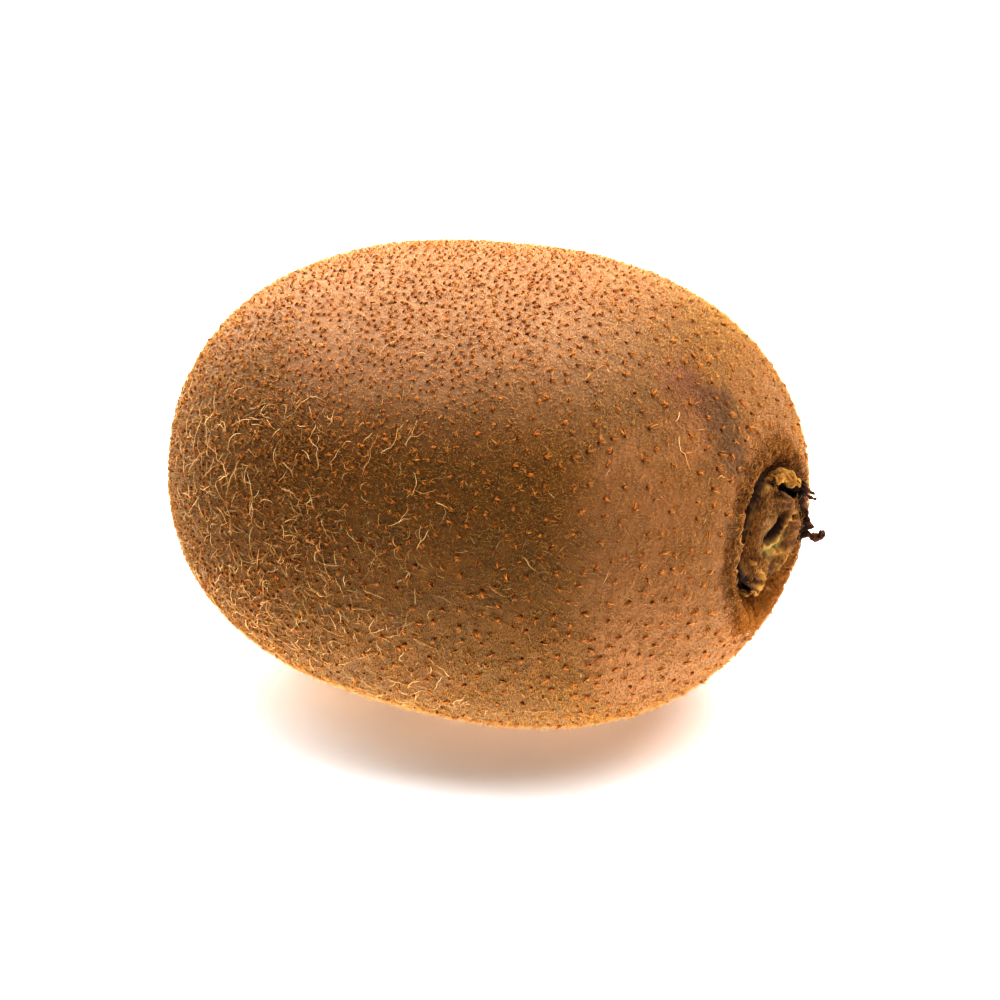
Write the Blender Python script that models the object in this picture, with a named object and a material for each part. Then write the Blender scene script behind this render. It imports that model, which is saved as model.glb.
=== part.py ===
"""A kiwi fruit lying on its side, with its dried stem button, sepals and blossom-end tuft.

Metres, +Z up. The stem end points to +X. The origin is on the surface it lies on, below the
middle of its bounding box.
"""

import math

import bmesh
import bpy
from mathutils import Matrix, Vector

MM = 0.001
GAP = 0.3 * MM  # clearance kept between neighbouring pieces

# The fruit's body: two superelliptic halves on one round, slightly three-sided section.
STEM_HALF = 30.8 * MM  # widest section to the stem end
BLOSSOM_HALF = 34.4 * MM  # widest section to the blossom end
RADIUS = 25.4 * MM
STEM_FULLNESS = 2.23  # 2 is an ellipse, more is boxier
BLOSSOM_FULLNESS = 2.56
OVAL = 1.066  # the section is this much wider than round and as much lower
TAPER = -0.034  # change of radius over TAPER_LENGTH towards the stem
TAPER_LENGTH = 35.0 * MM
THREE_SIDED = 0.0175  # share of the radius that the three blunt edges stand out
BELLY_LIFT = 0.6 * MM  # rise of the middle over the two ends
REST_TILT = math.radians(-1.55)  # the stem end lies this much higher
FLAT_DEPTH = 0.3 * MM  # pressed flat where it lies
RINGS = 52
SEGMENTS = 44
POLE_CROWDING = 0.32  # packs the rings towards the two ends

# The hollow at each end, measured from the axis of its own slightly tilted frame.
STEM_DROP = 1.2 * MM  # the button sits this far below the fruit's axis
STEM_TILT = math.radians(7.0)  # and looks this much downwards
STEM_FLOOR_DEPTH = 3.2 * MM
STEM_FLOOR_RADIUS = 6.3 * MM
STEM_RIM_RADIUS = 9.4 * MM
BLOSSOM_FLOOR_DEPTH = 1.6 * MM
BLOSSOM_FLOOR_RADIUS = 2.9 * MM
BLOSSOM_RIM_RADIUS = 6.4 * MM

# The woody stem button, which lies on the hollow's floor.
BUTTON_RADIUS = 4.6 * MM
BUTTON_HEIGHT = 3.1 * MM
BUTTON_OVAL = 1.08
SLIT_LENGTH = 5.2 * MM
SLIT_WIDTH = 0.7 * MM
SLIT_DEPTH = 1.3 * MM
SLIT_ANGLE = math.radians(8.0)

# The sepals stand in the groove between the button and the wall of the hollow.
SEPAL_BASE_RADIUS = 5.75 * MM
SEPAL_BASE_HEIGHT = 0.5 * MM
SEPAL_THICKNESS = 0.45 * MM

# The dried styles in the blossom-end hollow.
TUFT_RADIUS = 2.0 * MM
TUFT_HEIGHT = 1.2 * MM
TUFT_RAYS = 9
TUFT_RAY_DEPTH = 0.16

SKIN_BROWN = (0.300, 0.140, 0.045)
WOOD_BROWN = (0.210, 0.105, 0.040)
OCHRE = (0.480, 0.250, 0.050)
BARK_BROWN = (0.070, 0.032, 0.012)
TUFT_BROWN = (0.110, 0.055, 0.022)


def smoothstep(low, high, value):
    share = min(max((value - low) / (high - low), 0.0), 1.0)
    return share * share * (3.0 - 2.0 * share)


def clear_scene():
    for obj in list(bpy.data.objects):
        bpy.data.objects.remove(obj, do_unlink=True)


def material(name, colour, roughness):
    made = bpy.data.materials.new(name)
    made.use_nodes = True
    shader = made.node_tree.nodes["Principled BSDF"]
    shader.inputs["Base Color"].default_value = (*colour, 1.0)
    shader.inputs["Roughness"].default_value = roughness
    shader.inputs["Metallic"].default_value = 0.0
    return made


def empty(name, parent=None, matrix=None):
    made = bpy.data.objects.new(name, None)
    bpy.context.scene.collection.objects.link(made)
    made.parent = parent
    if matrix is not None:
        made.matrix_local = matrix
    return made


def piece(name, bm, finish, parent):
    """Makes the object of one piece from its mesh, and frees the bmesh."""
    bmesh.ops.recalc_face_normals(bm, faces=bm.faces[:])
    mesh = bpy.data.meshes.new(name)
    bm.to_mesh(mesh)
    bm.free()
    mesh.materials.append(finish)
    mesh.shade_smooth()
    mesh.set_sharp_from_angle(angle=math.radians(40.0))
    made = bpy.data.objects.new(name, mesh)
    bpy.context.scene.collection.objects.link(made)
    made.parent = parent
    return made


def turned(profile, axis, steps):
    """A closed body of revolution: the profile starts and ends on the axis."""
    bm = bmesh.new()
    points = [bm.verts.new(point) for point in profile]
    edges = [bm.edges.new(pair) for pair in zip(points, points[1:])]
    bmesh.ops.spin(
        bm, geom=points + edges, axis=axis, cent=(0.0, 0.0, 0.0),
        angle=2.0 * math.pi, steps=steps, use_merge=True,
    )
    bmesh.ops.remove_doubles(bm, verts=bm.verts[:], dist=1e-6)
    return bm


# The two ends' frames, in the fruit's own axes: +Z of each looks straight out of the hollow.


def stem_frame():
    """Origin on the hollow's floor. Local X is up and local Y is towards the front, world -Y."""
    out = Vector((math.cos(STEM_TILT), 0.0, -math.sin(STEM_TILT)))
    up = Vector((math.sin(STEM_TILT), 0.0, math.cos(STEM_TILT)))
    side = out.cross(up)
    frame = Matrix((up, side, out)).transposed().to_4x4()
    pole = Vector((STEM_HALF, 0.0, -STEM_DROP))
    return Matrix.Translation(pole - out * STEM_FLOOR_DEPTH) @ frame


def blossom_frame():
    out = Vector((-1.0, 0.0, 0.0))
    up = Vector((0.0, 0.0, 1.0))
    frame = Matrix((up, out.cross(up), out)).transposed().to_4x4()
    pole = Vector((-BLOSSOM_HALF, 0.0, 0.0))
    return Matrix.Translation(pole - out * BLOSSOM_FLOOR_DEPTH) @ frame


# The fruit


def fruit_profile(step):
    """A point of the half outline: step 0 is the stem pole, step RINGS the blossom pole."""
    turn = math.pi * step / RINGS
    turn -= POLE_CROWDING * math.sin(2.0 * turn)
    along, across = math.cos(turn), math.sin(turn)
    if step in (0, RINGS):
        across = 0.0
    stem_side = along >= 0.0
    half = STEM_HALF if stem_side else -BLOSSOM_HALF
    power = 2.0 / (STEM_FULLNESS if stem_side else BLOSSOM_FULLNESS)
    x = half * abs(along) ** power
    radius = RADIUS * across**power * (1.0 - TAPER * x / TAPER_LENGTH)
    return Vector((x, 0.0, radius))


def shaped_section(point):
    """Turns the round section into the wide, low and slightly three-sided one."""
    around = math.atan2(point.y, point.z)
    swell = 1.0 - THREE_SIDED * math.sin(3.0 * around)
    half = STEM_HALF if point.x > 0.0 else BLOSSOM_HALF
    lift = BELLY_LIFT * (1.0 - (point.x / half) ** 2)
    return Vector((point.x, point.y * swell * OVAL, point.z * swell / OVAL + lift))


def pressed_hollow(point, frame, floor_radius, rim_radius):
    """Lowers the skin inside the rim onto the hollow's flat floor."""
    local = frame.inverted() @ point
    if local.z < -rim_radius:
        return point
    rise = smoothstep(floor_radius, rim_radius, math.hypot(local.x, local.y))
    local.z *= rise
    return frame @ local


def fruit(parent, finish):
    profile = [fruit_profile(step) for step in range(RINGS + 1)]
    bm = turned(profile, axis=(1.0, 0.0, 0.0), steps=SEGMENTS)
    stem, blossom = stem_frame(), blossom_frame()
    lie = Matrix.Rotation(REST_TILT, 4, "Y")
    for vert in bm.verts:
        point = shaped_section(vert.co)
        point = pressed_hollow(point, stem, STEM_FLOOR_RADIUS, STEM_RIM_RADIUS)
        point = pressed_hollow(point, blossom, BLOSSOM_FLOOR_RADIUS, BLOSSOM_RIM_RADIUS)
        vert.co = lie @ point
    cut_height = min(vert.co.z for vert in bm.verts) + FLAT_DEPTH
    cut = bmesh.ops.bisect_plane(
        bm, geom=bm.verts[:] + bm.edges[:] + bm.faces[:], dist=1e-7,
        plane_co=(0.0, 0.0, cut_height), plane_no=(0.0, 0.0, -1.0), clear_outer=True,
    )
    rim = [item for item in cut["geom_cut"] if isinstance(item, bmesh.types.BMEdge)]
    bmesh.ops.edgeloop_fill(bm, edges=rim)
    return piece("fruit", bm, finish, parent)


# The pieces at the stem end, in the stem frame


def button_profile(share):
    """Underside, flank, raised rim and sunken middle of the woody button, as one curve."""
    if share <= 0.0:
        return Vector((0.0, 0.0, GAP))
    if share >= 1.0:
        return Vector((0.0, 0.0, GAP + 0.80 * BUTTON_HEIGHT))
    turn = math.pi * share
    radius = BUTTON_RADIUS * math.sin(turn) ** 0.55
    height = 0.5 * BUTTON_HEIGHT * (1.0 - math.copysign(abs(math.cos(turn)) ** 0.6, math.cos(turn)))
    inside = smoothstep(0.85 * BUTTON_RADIUS, 0.2 * BUTTON_RADIUS, radius)
    sunken = 0.20 * BUTTON_HEIGHT * inside if share > 0.5 else 0.0
    return Vector((radius, 0.0, GAP + height - sunken))


def slit_depth(x, y):
    """How deep the slit across the button is at this place."""
    along = x * math.cos(SLIT_ANGLE) + y * math.sin(SLIT_ANGLE)
    across = y * math.cos(SLIT_ANGLE) - x * math.sin(SLIT_ANGLE)
    length = max(0.0, 1.0 - (2.0 * along / SLIT_LENGTH) ** 2)
    return SLIT_DEPTH * length * math.exp(-((across / SLIT_WIDTH) ** 2))


def stem_button(parent, finish):
    steps = 18
    profile = [button_profile(step / steps) for step in range(steps + 1)]
    bm = turned(profile, axis=(0.0, 0.0, 1.0), steps=32)
    for vert in bm.verts:
        vert.co.x *= BUTTON_OVAL
        if vert.co.z > GAP + 0.5 * BUTTON_HEIGHT:
            vert.co.z -= slit_depth(vert.co.x, vert.co.y)
    return piece("stem_button", bm, finish, parent)


def bezier(start, knee, end, share):
    return (1.0 - share) ** 2 * start + 2.0 * share * (1.0 - share) * knee + share**2 * end


def sepal(name, parent, finish, middle, width, knee, tip, narrowing, ragged):
    """A curved plate that stands in the groove. Angles in degrees from the top, towards the front.

    knee and tip are (radius, height) in millimetres; the plate's foot is the same for all.
    """
    columns, rows = 10, 7
    foot = Vector((SEPAL_BASE_RADIUS, SEPAL_BASE_HEIGHT))
    bend, end = Vector(knee) * MM, Vector(tip) * MM
    bm = bmesh.new()
    bmesh.ops.create_grid(bm, x_segments=columns, y_segments=rows, size=1.0)
    for vert in bm.verts:
        across, share = vert.co.x, 0.5 * (vert.co.y + 1.0)
        spread = 0.5 * math.radians(width) * (1.0 - narrowing * share)
        angle = math.radians(middle) + across * spread
        torn = 1.0 - ragged * (0.5 + 0.5 * math.sin(4.0 * across + middle))
        place = bezier(foot, bend, end, share * torn)
        vert.co = (place.x * math.cos(angle), place.x * math.sin(angle), place.y)
    made = piece(name, bm, finish, parent)
    shell = made.modifiers.new("thickness", "SOLIDIFY")
    shell.thickness = SEPAL_THICKNESS
    shell.offset = 0.0
    shell.use_even_offset = True
    return made


# The piece at the blossom end, in the blossom frame


def tuft_profile(share):
    """A low dome with a point in the middle."""
    if share <= 0.0:
        return Vector((0.0, 0.0, GAP))
    if share >= 1.0:
        return Vector((0.0, 0.0, GAP + TUFT_HEIGHT))
    turn = math.pi * share
    radius = TUFT_RADIUS * math.sin(turn) ** 0.8
    dome = 0.30 * TUFT_HEIGHT * (1.0 - math.cos(turn))
    point = 0.40 * TUFT_HEIGHT * smoothstep(0.7, 1.0, share)
    return Vector((radius, 0.0, GAP + dome + point))


def style_tuft(parent, finish):
    steps = 10
    profile = [tuft_profile(step / steps) for step in range(steps + 1)]
    bm = turned(profile, axis=(0.0, 0.0, 1.0), steps=4 * TUFT_RAYS)
    for vert in bm.verts:
        ray = 1.0 + TUFT_RAY_DEPTH * math.cos(TUFT_RAYS * math.atan2(vert.co.y, vert.co.x))
        vert.co.x *= ray
        vert.co.y *= ray
    return piece("style_tuft", bm, finish, parent)


def stand_on_origin(root, pieces):
    """Moves everything so that the origin is under the middle of the bounding box."""
    bpy.context.view_layer.update()
    graph = bpy.context.evaluated_depsgraph_get()
    points = []
    for obj in pieces:
        shown = obj.evaluated_get(graph)
        mesh = shown.to_mesh()
        points += [shown.matrix_world @ vert.co for vert in mesh.vertices]
        shown.to_mesh_clear()
    low = [min(point[axis] for point in points) for axis in range(3)]
    high = [max(point[axis] for point in points) for axis in range(3)]
    root.location = (-0.5 * (low[0] + high[0]), -0.5 * (low[1] + high[1]), -low[2])


def main():
    clear_scene()
    skin = material("skin", SKIN_BROWN, 0.85)
    wood = material("wood", WOOD_BROWN, 0.80)
    ochre = material("dry_sepal_ochre", OCHRE, 0.75)
    bark = material("dry_sepal_dark", BARK_BROWN, 0.85)
    dry_style = material("dry_style", TUFT_BROWN, 0.85)

    root = empty("kiwi")
    lie = Matrix.Rotation(REST_TILT, 4, "Y")
    stem_end = empty("stem_end", root, lie @ stem_frame())
    blossom_end = empty("blossom_end", root, lie @ blossom_frame())

    pieces = [
        fruit(root, skin),
        stem_button(stem_end, wood),
        sepal("sepal_top", stem_end, ochre, middle=0.0, width=58.0,
              knee=(6.4, 2.6), tip=(6.0, 3.9), narrowing=0.25, ragged=0.12),
        sepal("sepal_far", stem_end, bark, middle=-88.0, width=84.0,
              knee=(6.0, 2.4), tip=(6.5, 4.1), narrowing=0.35, ragged=0.25),
        sepal("sepal_bottom", stem_end, ochre, middle=175.0, width=68.0,
              knee=(6.2, 2.0), tip=(6.0, 3.1), narrowing=0.30, ragged=0.20),
        sepal("sepal_near", stem_end, wood, middle=82.0, width=76.0,
              knee=(5.9, 2.0), tip=(5.5, 3.1), narrowing=0.30, ragged=0.15),
        style_tuft(blossom_end, dry_style),
    ]
    stand_on_origin(root, pieces)


main()
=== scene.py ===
"""Looks of a kiwi fruit on its side: felted skin, specks, hairs, stem button, sepals and tuft.

Everything is in metres, in the frame of the packed model, with the stem end towards +X. The two
ends have axes of their own, in which the stem button, the sepals and the tuft are shaped.
"""

import functools
import math

import bpy
import numpy as np
from bpy.props import FloatProperty, FloatVectorProperty, IntProperty, PointerProperty
from mathutils import Matrix, Vector, kdtree


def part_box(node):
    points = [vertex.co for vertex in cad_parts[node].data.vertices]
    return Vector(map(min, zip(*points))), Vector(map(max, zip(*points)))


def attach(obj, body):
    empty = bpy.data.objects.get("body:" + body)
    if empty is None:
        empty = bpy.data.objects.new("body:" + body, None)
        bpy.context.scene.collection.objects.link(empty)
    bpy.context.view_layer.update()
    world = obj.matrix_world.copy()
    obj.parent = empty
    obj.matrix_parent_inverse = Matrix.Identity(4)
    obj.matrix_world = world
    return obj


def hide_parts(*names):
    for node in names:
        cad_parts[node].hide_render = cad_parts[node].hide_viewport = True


bl_info = {
    "name": "Kiwi Fruit Maker",
    "version": (1, 0, 0),
    "blender": (4, 5, 0),
    "location": "View3D > Sidebar > Kiwi",
    "description": "Builds a felted kiwi fruit with its stem button, sepals and blossom tuft",
    "category": "Add Mesh",
}

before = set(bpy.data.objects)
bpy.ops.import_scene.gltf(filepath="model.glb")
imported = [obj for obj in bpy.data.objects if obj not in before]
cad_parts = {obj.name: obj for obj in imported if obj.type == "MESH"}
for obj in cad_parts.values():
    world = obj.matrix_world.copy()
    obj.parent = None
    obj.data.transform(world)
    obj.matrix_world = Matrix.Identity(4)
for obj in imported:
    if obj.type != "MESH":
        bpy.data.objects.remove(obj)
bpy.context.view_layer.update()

MM = 0.001
TURN = 2.0 * math.pi

# The skin's grid of points.
RINGS = 290
SEGMENTS = 340
POLE_CROWDING = 0.15


# Settings


def length(name, description, millimetres):
    return FloatProperty(
        name=name, description=description, default=millimetres * MM, min=0.0,
        precision=5, unit="LENGTH", subtype="DISTANCE",
    )


def angle(name, description, degrees):
    return FloatProperty(
        name=name, description=description, default=math.radians(degrees),
        unit="ROTATION", subtype="ANGLE",
    )


def factor(name, description, value, highest=1.0):
    return FloatProperty(
        name=name, description=description, default=value, min=0.0, max=highest,
        subtype="FACTOR",
    )


def number(name, description, value):
    return FloatProperty(name=name, description=description, default=value, precision=4)


def count(name, description, value):
    return IntProperty(name=name, description=description, default=value, min=0)


def colour(name, description, linear):
    return FloatVectorProperty(
        name=name, description=description, default=linear, size=3, min=0.0, max=1.0,
        subtype="COLOR",
    )


class KiwiShape(bpy.types.PropertyGroup):
    """Sizes of the fruit's body and of the hollows at its two ends."""

    stem_half: length("Stem half", "From the widest section to the stem end", 30.8)
    blossom_half: length("Blossom half", "From the widest section to the blossom end", 34.4)
    radius: length("Radius", "Radius of the widest section", 25.4)
    stem_fullness: number("Stem fullness", "2 is an ellipse, more is boxier", 2.23)
    blossom_fullness: number("Blossom fullness", "2 is an ellipse, more is boxier", 2.56)
    oval: number("Oval", "The section is this much wider and this much lower than round", 1.066)
    taper: number("Taper", "Loss of radius towards the stem over the taper length", -0.034)
    taper_length: length("Taper length", "Length over which the taper is given", 35.0)
    three_sided: factor("Three-sided", "How far the three blunt edges stand out", 0.0175)
    belly_lift: length("Belly lift", "Rise of the middle over the two ends", 0.6)
    rest_tilt: angle("Rest tilt", "The stem end lies higher by this turn", -1.55)
    stem_drop: length("Stem drop", "The button sits this far below the fruit's axis", 1.2)
    stem_tilt: angle("Stem tilt", "The button looks this much downwards", 7.0)
    stem_floor_depth: length("Stem hollow depth", "Depth of the hollow's floor", 3.2)
    stem_floor_radius: length("Stem floor radius", "Radius of the hollow's floor", 6.3)
    stem_rim_radius: length("Stem rim radius", "Radius at which the hollow ends", 9.4)
    blossom_floor_depth: length("Blossom hollow depth", "Depth of the dimple's floor", 1.6)
    blossom_floor_radius: length("Blossom floor radius", "Radius of the dimple's floor", 2.9)
    blossom_rim_radius: length("Blossom rim radius", "Radius at which the dimple ends", 6.4)
    lump_height: length("Lump height", "Height of the skin's broad unevenness", 0.16)
    pucker_height: length("Pucker height", "Height of the folds round the stem", 0.14)


class KiwiSkinLook(bpy.types.PropertyGroup):
    """Colours of the skin and of the specks on it."""

    deep: colour("Deep skin", "The olive brown below the felt", (0.100, 0.048, 0.002))
    warm: colour("Warm skin", "The redder brown below the felt", (0.180, 0.070, 0.005))
    grain: colour("Grain", "The shortest, matted hairs", (0.320, 0.130, 0.009))
    plum: colour("Plum", "Bruise-like tint on the shoulder", (0.300, 0.095, 0.060))
    ochre: colour("Ochre", "Stain below the stem", (0.560, 0.235, 0.030))
    # The ring round the stem is the skin's own tint; the belt of this colour round the stem half
    # is a painted highlight.
    blush: colour("Blush", "Paler, pinkish ring round the stem", (0.560, 0.270, 0.110))
    # Painted sheen: the paler upper side stands in for the light from above.
    sunny: colour("Sunny", "Paler, drier felt on the upper side", (1.000, 0.600, 0.360))
    # In the two hollows this brown is partly painted shade.
    umber: colour("Umber", "Dirt-brown skin in the hollows", (0.055, 0.024, 0.008))
    # The dark foot is partly painted shade, the shadow that the leaning speck and its hairs cast.
    speck_root: colour("Speck root", "Dark foot of a speck", (0.135, 0.042, 0.006))
    speck_tip: colour("Speck tip", "Rusty tip of a speck", (0.520, 0.180, 0.026))
    tuft_tip: colour("Tuft tip", "Tips of the short hairs round a speck", (0.900, 0.420, 0.090))
    specks: count("Specks", "Candidates for specks, before the crowded ones go", 36000)
    speck_length: length("Speck length", "Length of a speck that lies on the skin", 0.55)
    speck_radius: length("Speck radius", "Half of a speck's width", 0.13)


class KiwiFelt(bpy.types.PropertyGroup):
    """The hairs on the skin."""

    short_hairs: count("Short hairs", "Hairs of the felt", 56000)
    short_length: length("Short length", "Mean length of the felt's hairs", 0.42)
    short_radius: length("Short radius", "Radius of the felt's hairs at their foot", 0.025)
    needles: count("Needles", "Straight, nearly upright hairs between the felt's hairs", 260000)
    needle_length: length("Needle length", "Mean reach of the straight hairs along the skin", 0.18)
    long_hairs: count("Long hairs", "Longer, half-raised hairs", 4200)
    long_length: length("Long length", "Mean length of the longer hairs", 1.15)
    stray_hairs: count("Stray hairs", "Loose kinked hairs lying on the felt", 2300)
    stray_radius: length("Stray radius", "Radius of a loose hair at its foot", 0.043)
    stray_length: length("Stray length", "Mean length of the stray hairs", 2.0)
    # The darker foot is partly painted shade deep among the hairs.
    root: colour("Felt root", "Foot of a felt hair", (0.340, 0.145, 0.003))
    tip: colour("Felt tip", "Tip of a felt hair", (1.000, 0.590, 0.150))
    rusty: colour("Rusty hair", "The few redder hairs", (0.700, 0.235, 0.022))
    stray_root: colour("Stray root", "Foot of a stray hair", (0.760, 0.420, 0.110))
    stray_tip: colour("Stray tip", "Tip of a stray hair", (1.000, 0.720, 0.360))


class KiwiStemLook(bpy.types.PropertyGroup):
    """The dry pieces at the two ends."""

    fuzz_hairs: count("Fuzz hairs", "Brown hairs round the stem hollow", 6800)
    fuzz_length: length("Fuzz length", "Mean length of the hollow's hairs", 1.15)
    button_hairs: count("Button hairs", "Hairs on the stem button", 1500)
    wood: colour("Wood", "Dry wood of the button", (0.250, 0.120, 0.032))
    salmon: colour("Salmon wood", "Smoother raised lip of the button", (0.420, 0.195, 0.085))
    ochre: colour("Dry ochre", "Bright broken edges", (0.520, 0.265, 0.055))
    honey: colour("Honey wood", "Bright broken crests on the button", (0.760, 0.420, 0.100))
    lichen: colour("Greenish", "Greenish patch by the slit", (0.300, 0.270, 0.080))
    # The far sepal's near-black is partly painted shade: it stands at the far side and shows its
    # shaded inner face.
    bark: colour("Bark", "Nearly black dry sepal", (0.017, 0.007, 0.003))
    bark_edge: colour("Bark edge", "Redder broken edges of the dark sepal", (0.170, 0.060, 0.018))
    fuzz_root: colour("Fuzz root", "Foot of the hollow's hairs", (0.200, 0.072, 0.010))
    fuzz_tip: colour("Fuzz tip", "Tip of the hollow's hairs", (0.640, 0.290, 0.065))
    tuft: colour("Tuft", "Dried styles at the blossom end", (0.120, 0.058, 0.022))
    tuft_hairs: count("Tuft strands", "Dried styles in the tuft", 130)


class KiwiStage(bpy.types.PropertyGroup):
    """The floor, the soft lights and the camera."""

    floor_size: length("Floor size", "Side of the square floor", 3000.0)
    floor: colour("Floor", "Matt white floor", (0.900, 0.900, 0.900))
    ceiling_back: number("Ceiling back", "Large softbox above and behind, in watts", 10.0)
    ceiling_right: number("Ceiling right", "Softbox above and to the right, in watts", 10.5)
    ceiling_left: number("Ceiling left", "Softbox above and to the left, in watts", 1.0)
    back_left: number("Back left", "Softbox behind on the left, in watts", 10.0)
    front_right: number("Front right", "Weak softbox at the front right, in watts", 0.2)
    table_glow: number("Table glow", "Light through the table below the fruit, in watts", 0.056)
    floor_glow: factor("Floor glow", "Light that the whole white table gives off", 0.28)
    surround: number("Surround", "Strength of the dim surround", 0.05)
    azimuth: angle("Azimuth", "Camera's turn round the fruit", 26.47)
    elevation: angle("Elevation", "Camera's height over the horizon", 22.5)
    distance: length("Distance", "Camera to the fruit's middle", 500.0)
    aim_left: length("Aim left", "The camera aims this far left of the middle", 0.40)
    aim_low: length("Aim low", "The camera aims this far below the middle", 1.77)
    print_contrast: number("Print contrast", "Below 1, dark tones get darker and richer", 0.70)
    lens: number("Lens", "Focal length in millimetres", 175.07)


# Numbers and noise


def smoothstep(low, high, value):
    share = np.clip((value - low) / (high - low), 0.0, 1.0)
    return share * share * (3.0 - 2.0 * share)


def unit(vectors):
    size = np.linalg.norm(vectors, axis=-1, keepdims=True)
    return vectors / np.maximum(size, 1e-12)


def cell_value(cell, seed):
    """A random value from -1 to 1 for each lattice cell."""
    mixed = np.full(cell.shape[:-1], 2166136261 + 7919 * seed, dtype=np.uint64)
    for axis in range(cell.shape[-1]):
        mixed ^= cell[..., axis].astype(np.uint64)
        mixed *= np.uint64(0x9E3779B97F4A7C15)
        mixed ^= mixed >> np.uint64(29)
    return (mixed & np.uint64(0xFFFFFF)).astype(float) / float(0x7FFFFF) - 1.0


def lattice_noise(points, size, seed):
    """Smooth random value from -1 to 1 at each point; size is the width of one lump."""
    scaled = np.asarray(points) / size
    cell = np.floor(scaled).astype(np.int64)
    share = scaled - cell
    share = share * share * (3.0 - 2.0 * share)
    total = np.zeros(scaled.shape[:-1])
    for corner in np.ndindex(*(2,) * scaled.shape[-1]):
        weight = np.prod(np.where(np.array(corner) == 1, share, 1.0 - share), axis=-1)
        total += weight * cell_value(cell + np.array(corner), seed)
    return total


def rough_noise(points, size, seed, octaves=3):
    """Lattice noise with finer lumps on the broad ones."""
    total = np.zeros(np.shape(points)[:-1])
    for octave in range(octaves):
        total += 0.5**octave * lattice_noise(points, size * 0.47**octave, seed + octave)
    return total


def moved(points, matrix):
    turned = np.array(matrix)
    return points @ turned[:3, :3].T + turned[:3, 3]


def blob(x, y, place, radius):
    """1 at a place on an end's floor, falling to 0 over about its radius. In millimetres."""
    return np.exp(-(((x - place[0]) ** 2 + (y - place[1]) ** 2) / radius**2))


# Frames of the two ends


def end_frame(pole, out, up, depth):
    side = out.cross(up)
    axes = Matrix((up, side, out)).transposed().to_4x4()
    return Matrix.Translation(pole - out * depth) @ axes


def stem_frame():
    """Origin on the hollow's floor: local X up, local Y to the front, local Z outwards."""
    shape = bpy.context.scene.kiwi_shape
    cosine, sine = math.cos(shape.stem_tilt), math.sin(shape.stem_tilt)
    pole = Vector((shape.stem_half, 0.0, -shape.stem_drop))
    out, up = Vector((cosine, 0.0, -sine)), Vector((sine, 0.0, cosine))
    return end_frame(pole, out, up, shape.stem_floor_depth)


def blossom_frame():
    shape = bpy.context.scene.kiwi_shape
    pole = Vector((-shape.blossom_half, 0.0, 0.0))
    return end_frame(pole, Vector((-1, 0, 0)), Vector((0, 0, 1)), shape.blossom_floor_depth)


def pressed_hollow(points, end, floor_radius, rim_radius):
    """Lowers the skin inside the rim onto the hollow's floor."""
    local = moved(points, end.inverted())
    rise = smoothstep(floor_radius, rim_radius, np.hypot(local[..., 0], local[..., 1]))
    rise = np.where(local[..., 2] < -rim_radius, 1.0, rise)
    local[..., 2] *= rise
    return moved(local, end)


# The fruit's surface


def smooth_fruit():
    """The skin without its unevenness, in the fruit's own axes: ring, segment, xyz."""
    shape = bpy.context.scene.kiwi_shape
    turn = np.linspace(0.0, math.pi, RINGS + 1)
    turn -= POLE_CROWDING * np.sin(2.0 * turn)
    along, across = np.cos(turn), np.sin(turn)
    across[[0, -1]] = 0.0
    stem_side = along >= 0.0
    half = np.where(stem_side, shape.stem_half, -shape.blossom_half)
    power = 2.0 / np.where(stem_side, shape.stem_fullness, shape.blossom_fullness)
    x = half * np.abs(along) ** power
    radius = shape.radius * across**power * (1.0 - shape.taper * x / shape.taper_length)
    lift = shape.belly_lift * (1.0 - (x / half) ** 2)
    around = np.linspace(-math.pi, math.pi, SEGMENTS + 1)
    swell = 1.0 - shape.three_sided * np.sin(3.0 * around)
    y = np.outer(radius, np.sin(around) * swell * shape.oval)
    z = np.outer(radius, np.cos(around) * swell / shape.oval) + lift[:, None]
    points = np.stack([np.broadcast_to(x[:, None], y.shape), y, z], axis=-1)
    stem, blossom = stem_frame(), blossom_frame()
    points = pressed_hollow(points, stem, shape.stem_floor_radius, shape.stem_rim_radius)
    return pressed_hollow(points, blossom, shape.blossom_floor_radius, shape.blossom_rim_radius)


@functools.lru_cache
def row_placing():
    """The matrix from the fruit's own axes to the packed model's."""
    lie = Matrix.Rotation(bpy.context.scene.kiwi_shape.rest_tilt, 4, "Y")
    points = moved(smooth_fruit().reshape(-1, 3), lie)
    low, high = points.min(axis=0), points.max(axis=0)
    cad_low, cad_high = (np.array(corner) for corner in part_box("fruit"))
    shift = 0.5 * (cad_low + cad_high - low - high)
    shift[2] = cad_high[2] - high[2]
    return Matrix.Translation(Vector(shift)) @ lie


def grid_directions(points):
    """Outward normals, and the direction towards the stem, of a grid that closes on itself."""
    along = np.gradient(points, axis=0)
    wrapped = np.concatenate([points[:, -2:-1], points, points[:, 1:2]], axis=1)
    around = 0.5 * (wrapped[:, 2:] - wrapped[:, :-2])
    normals = unit(np.cross(around, along))
    for pole, beside in ((0, 1), (-1, -2)):
        normals[pole] = unit(normals[beside].mean(axis=0))
    return normals, unit(-along)


# Lumps of the skin: share of the height, width in millimetres, seed.
SKIN_LUMPS = ((0.65, 9.0, 11), (0.35, 4.2, 12), (0.30, 1.5, 13), (0.12, 0.75, 14))


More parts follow.
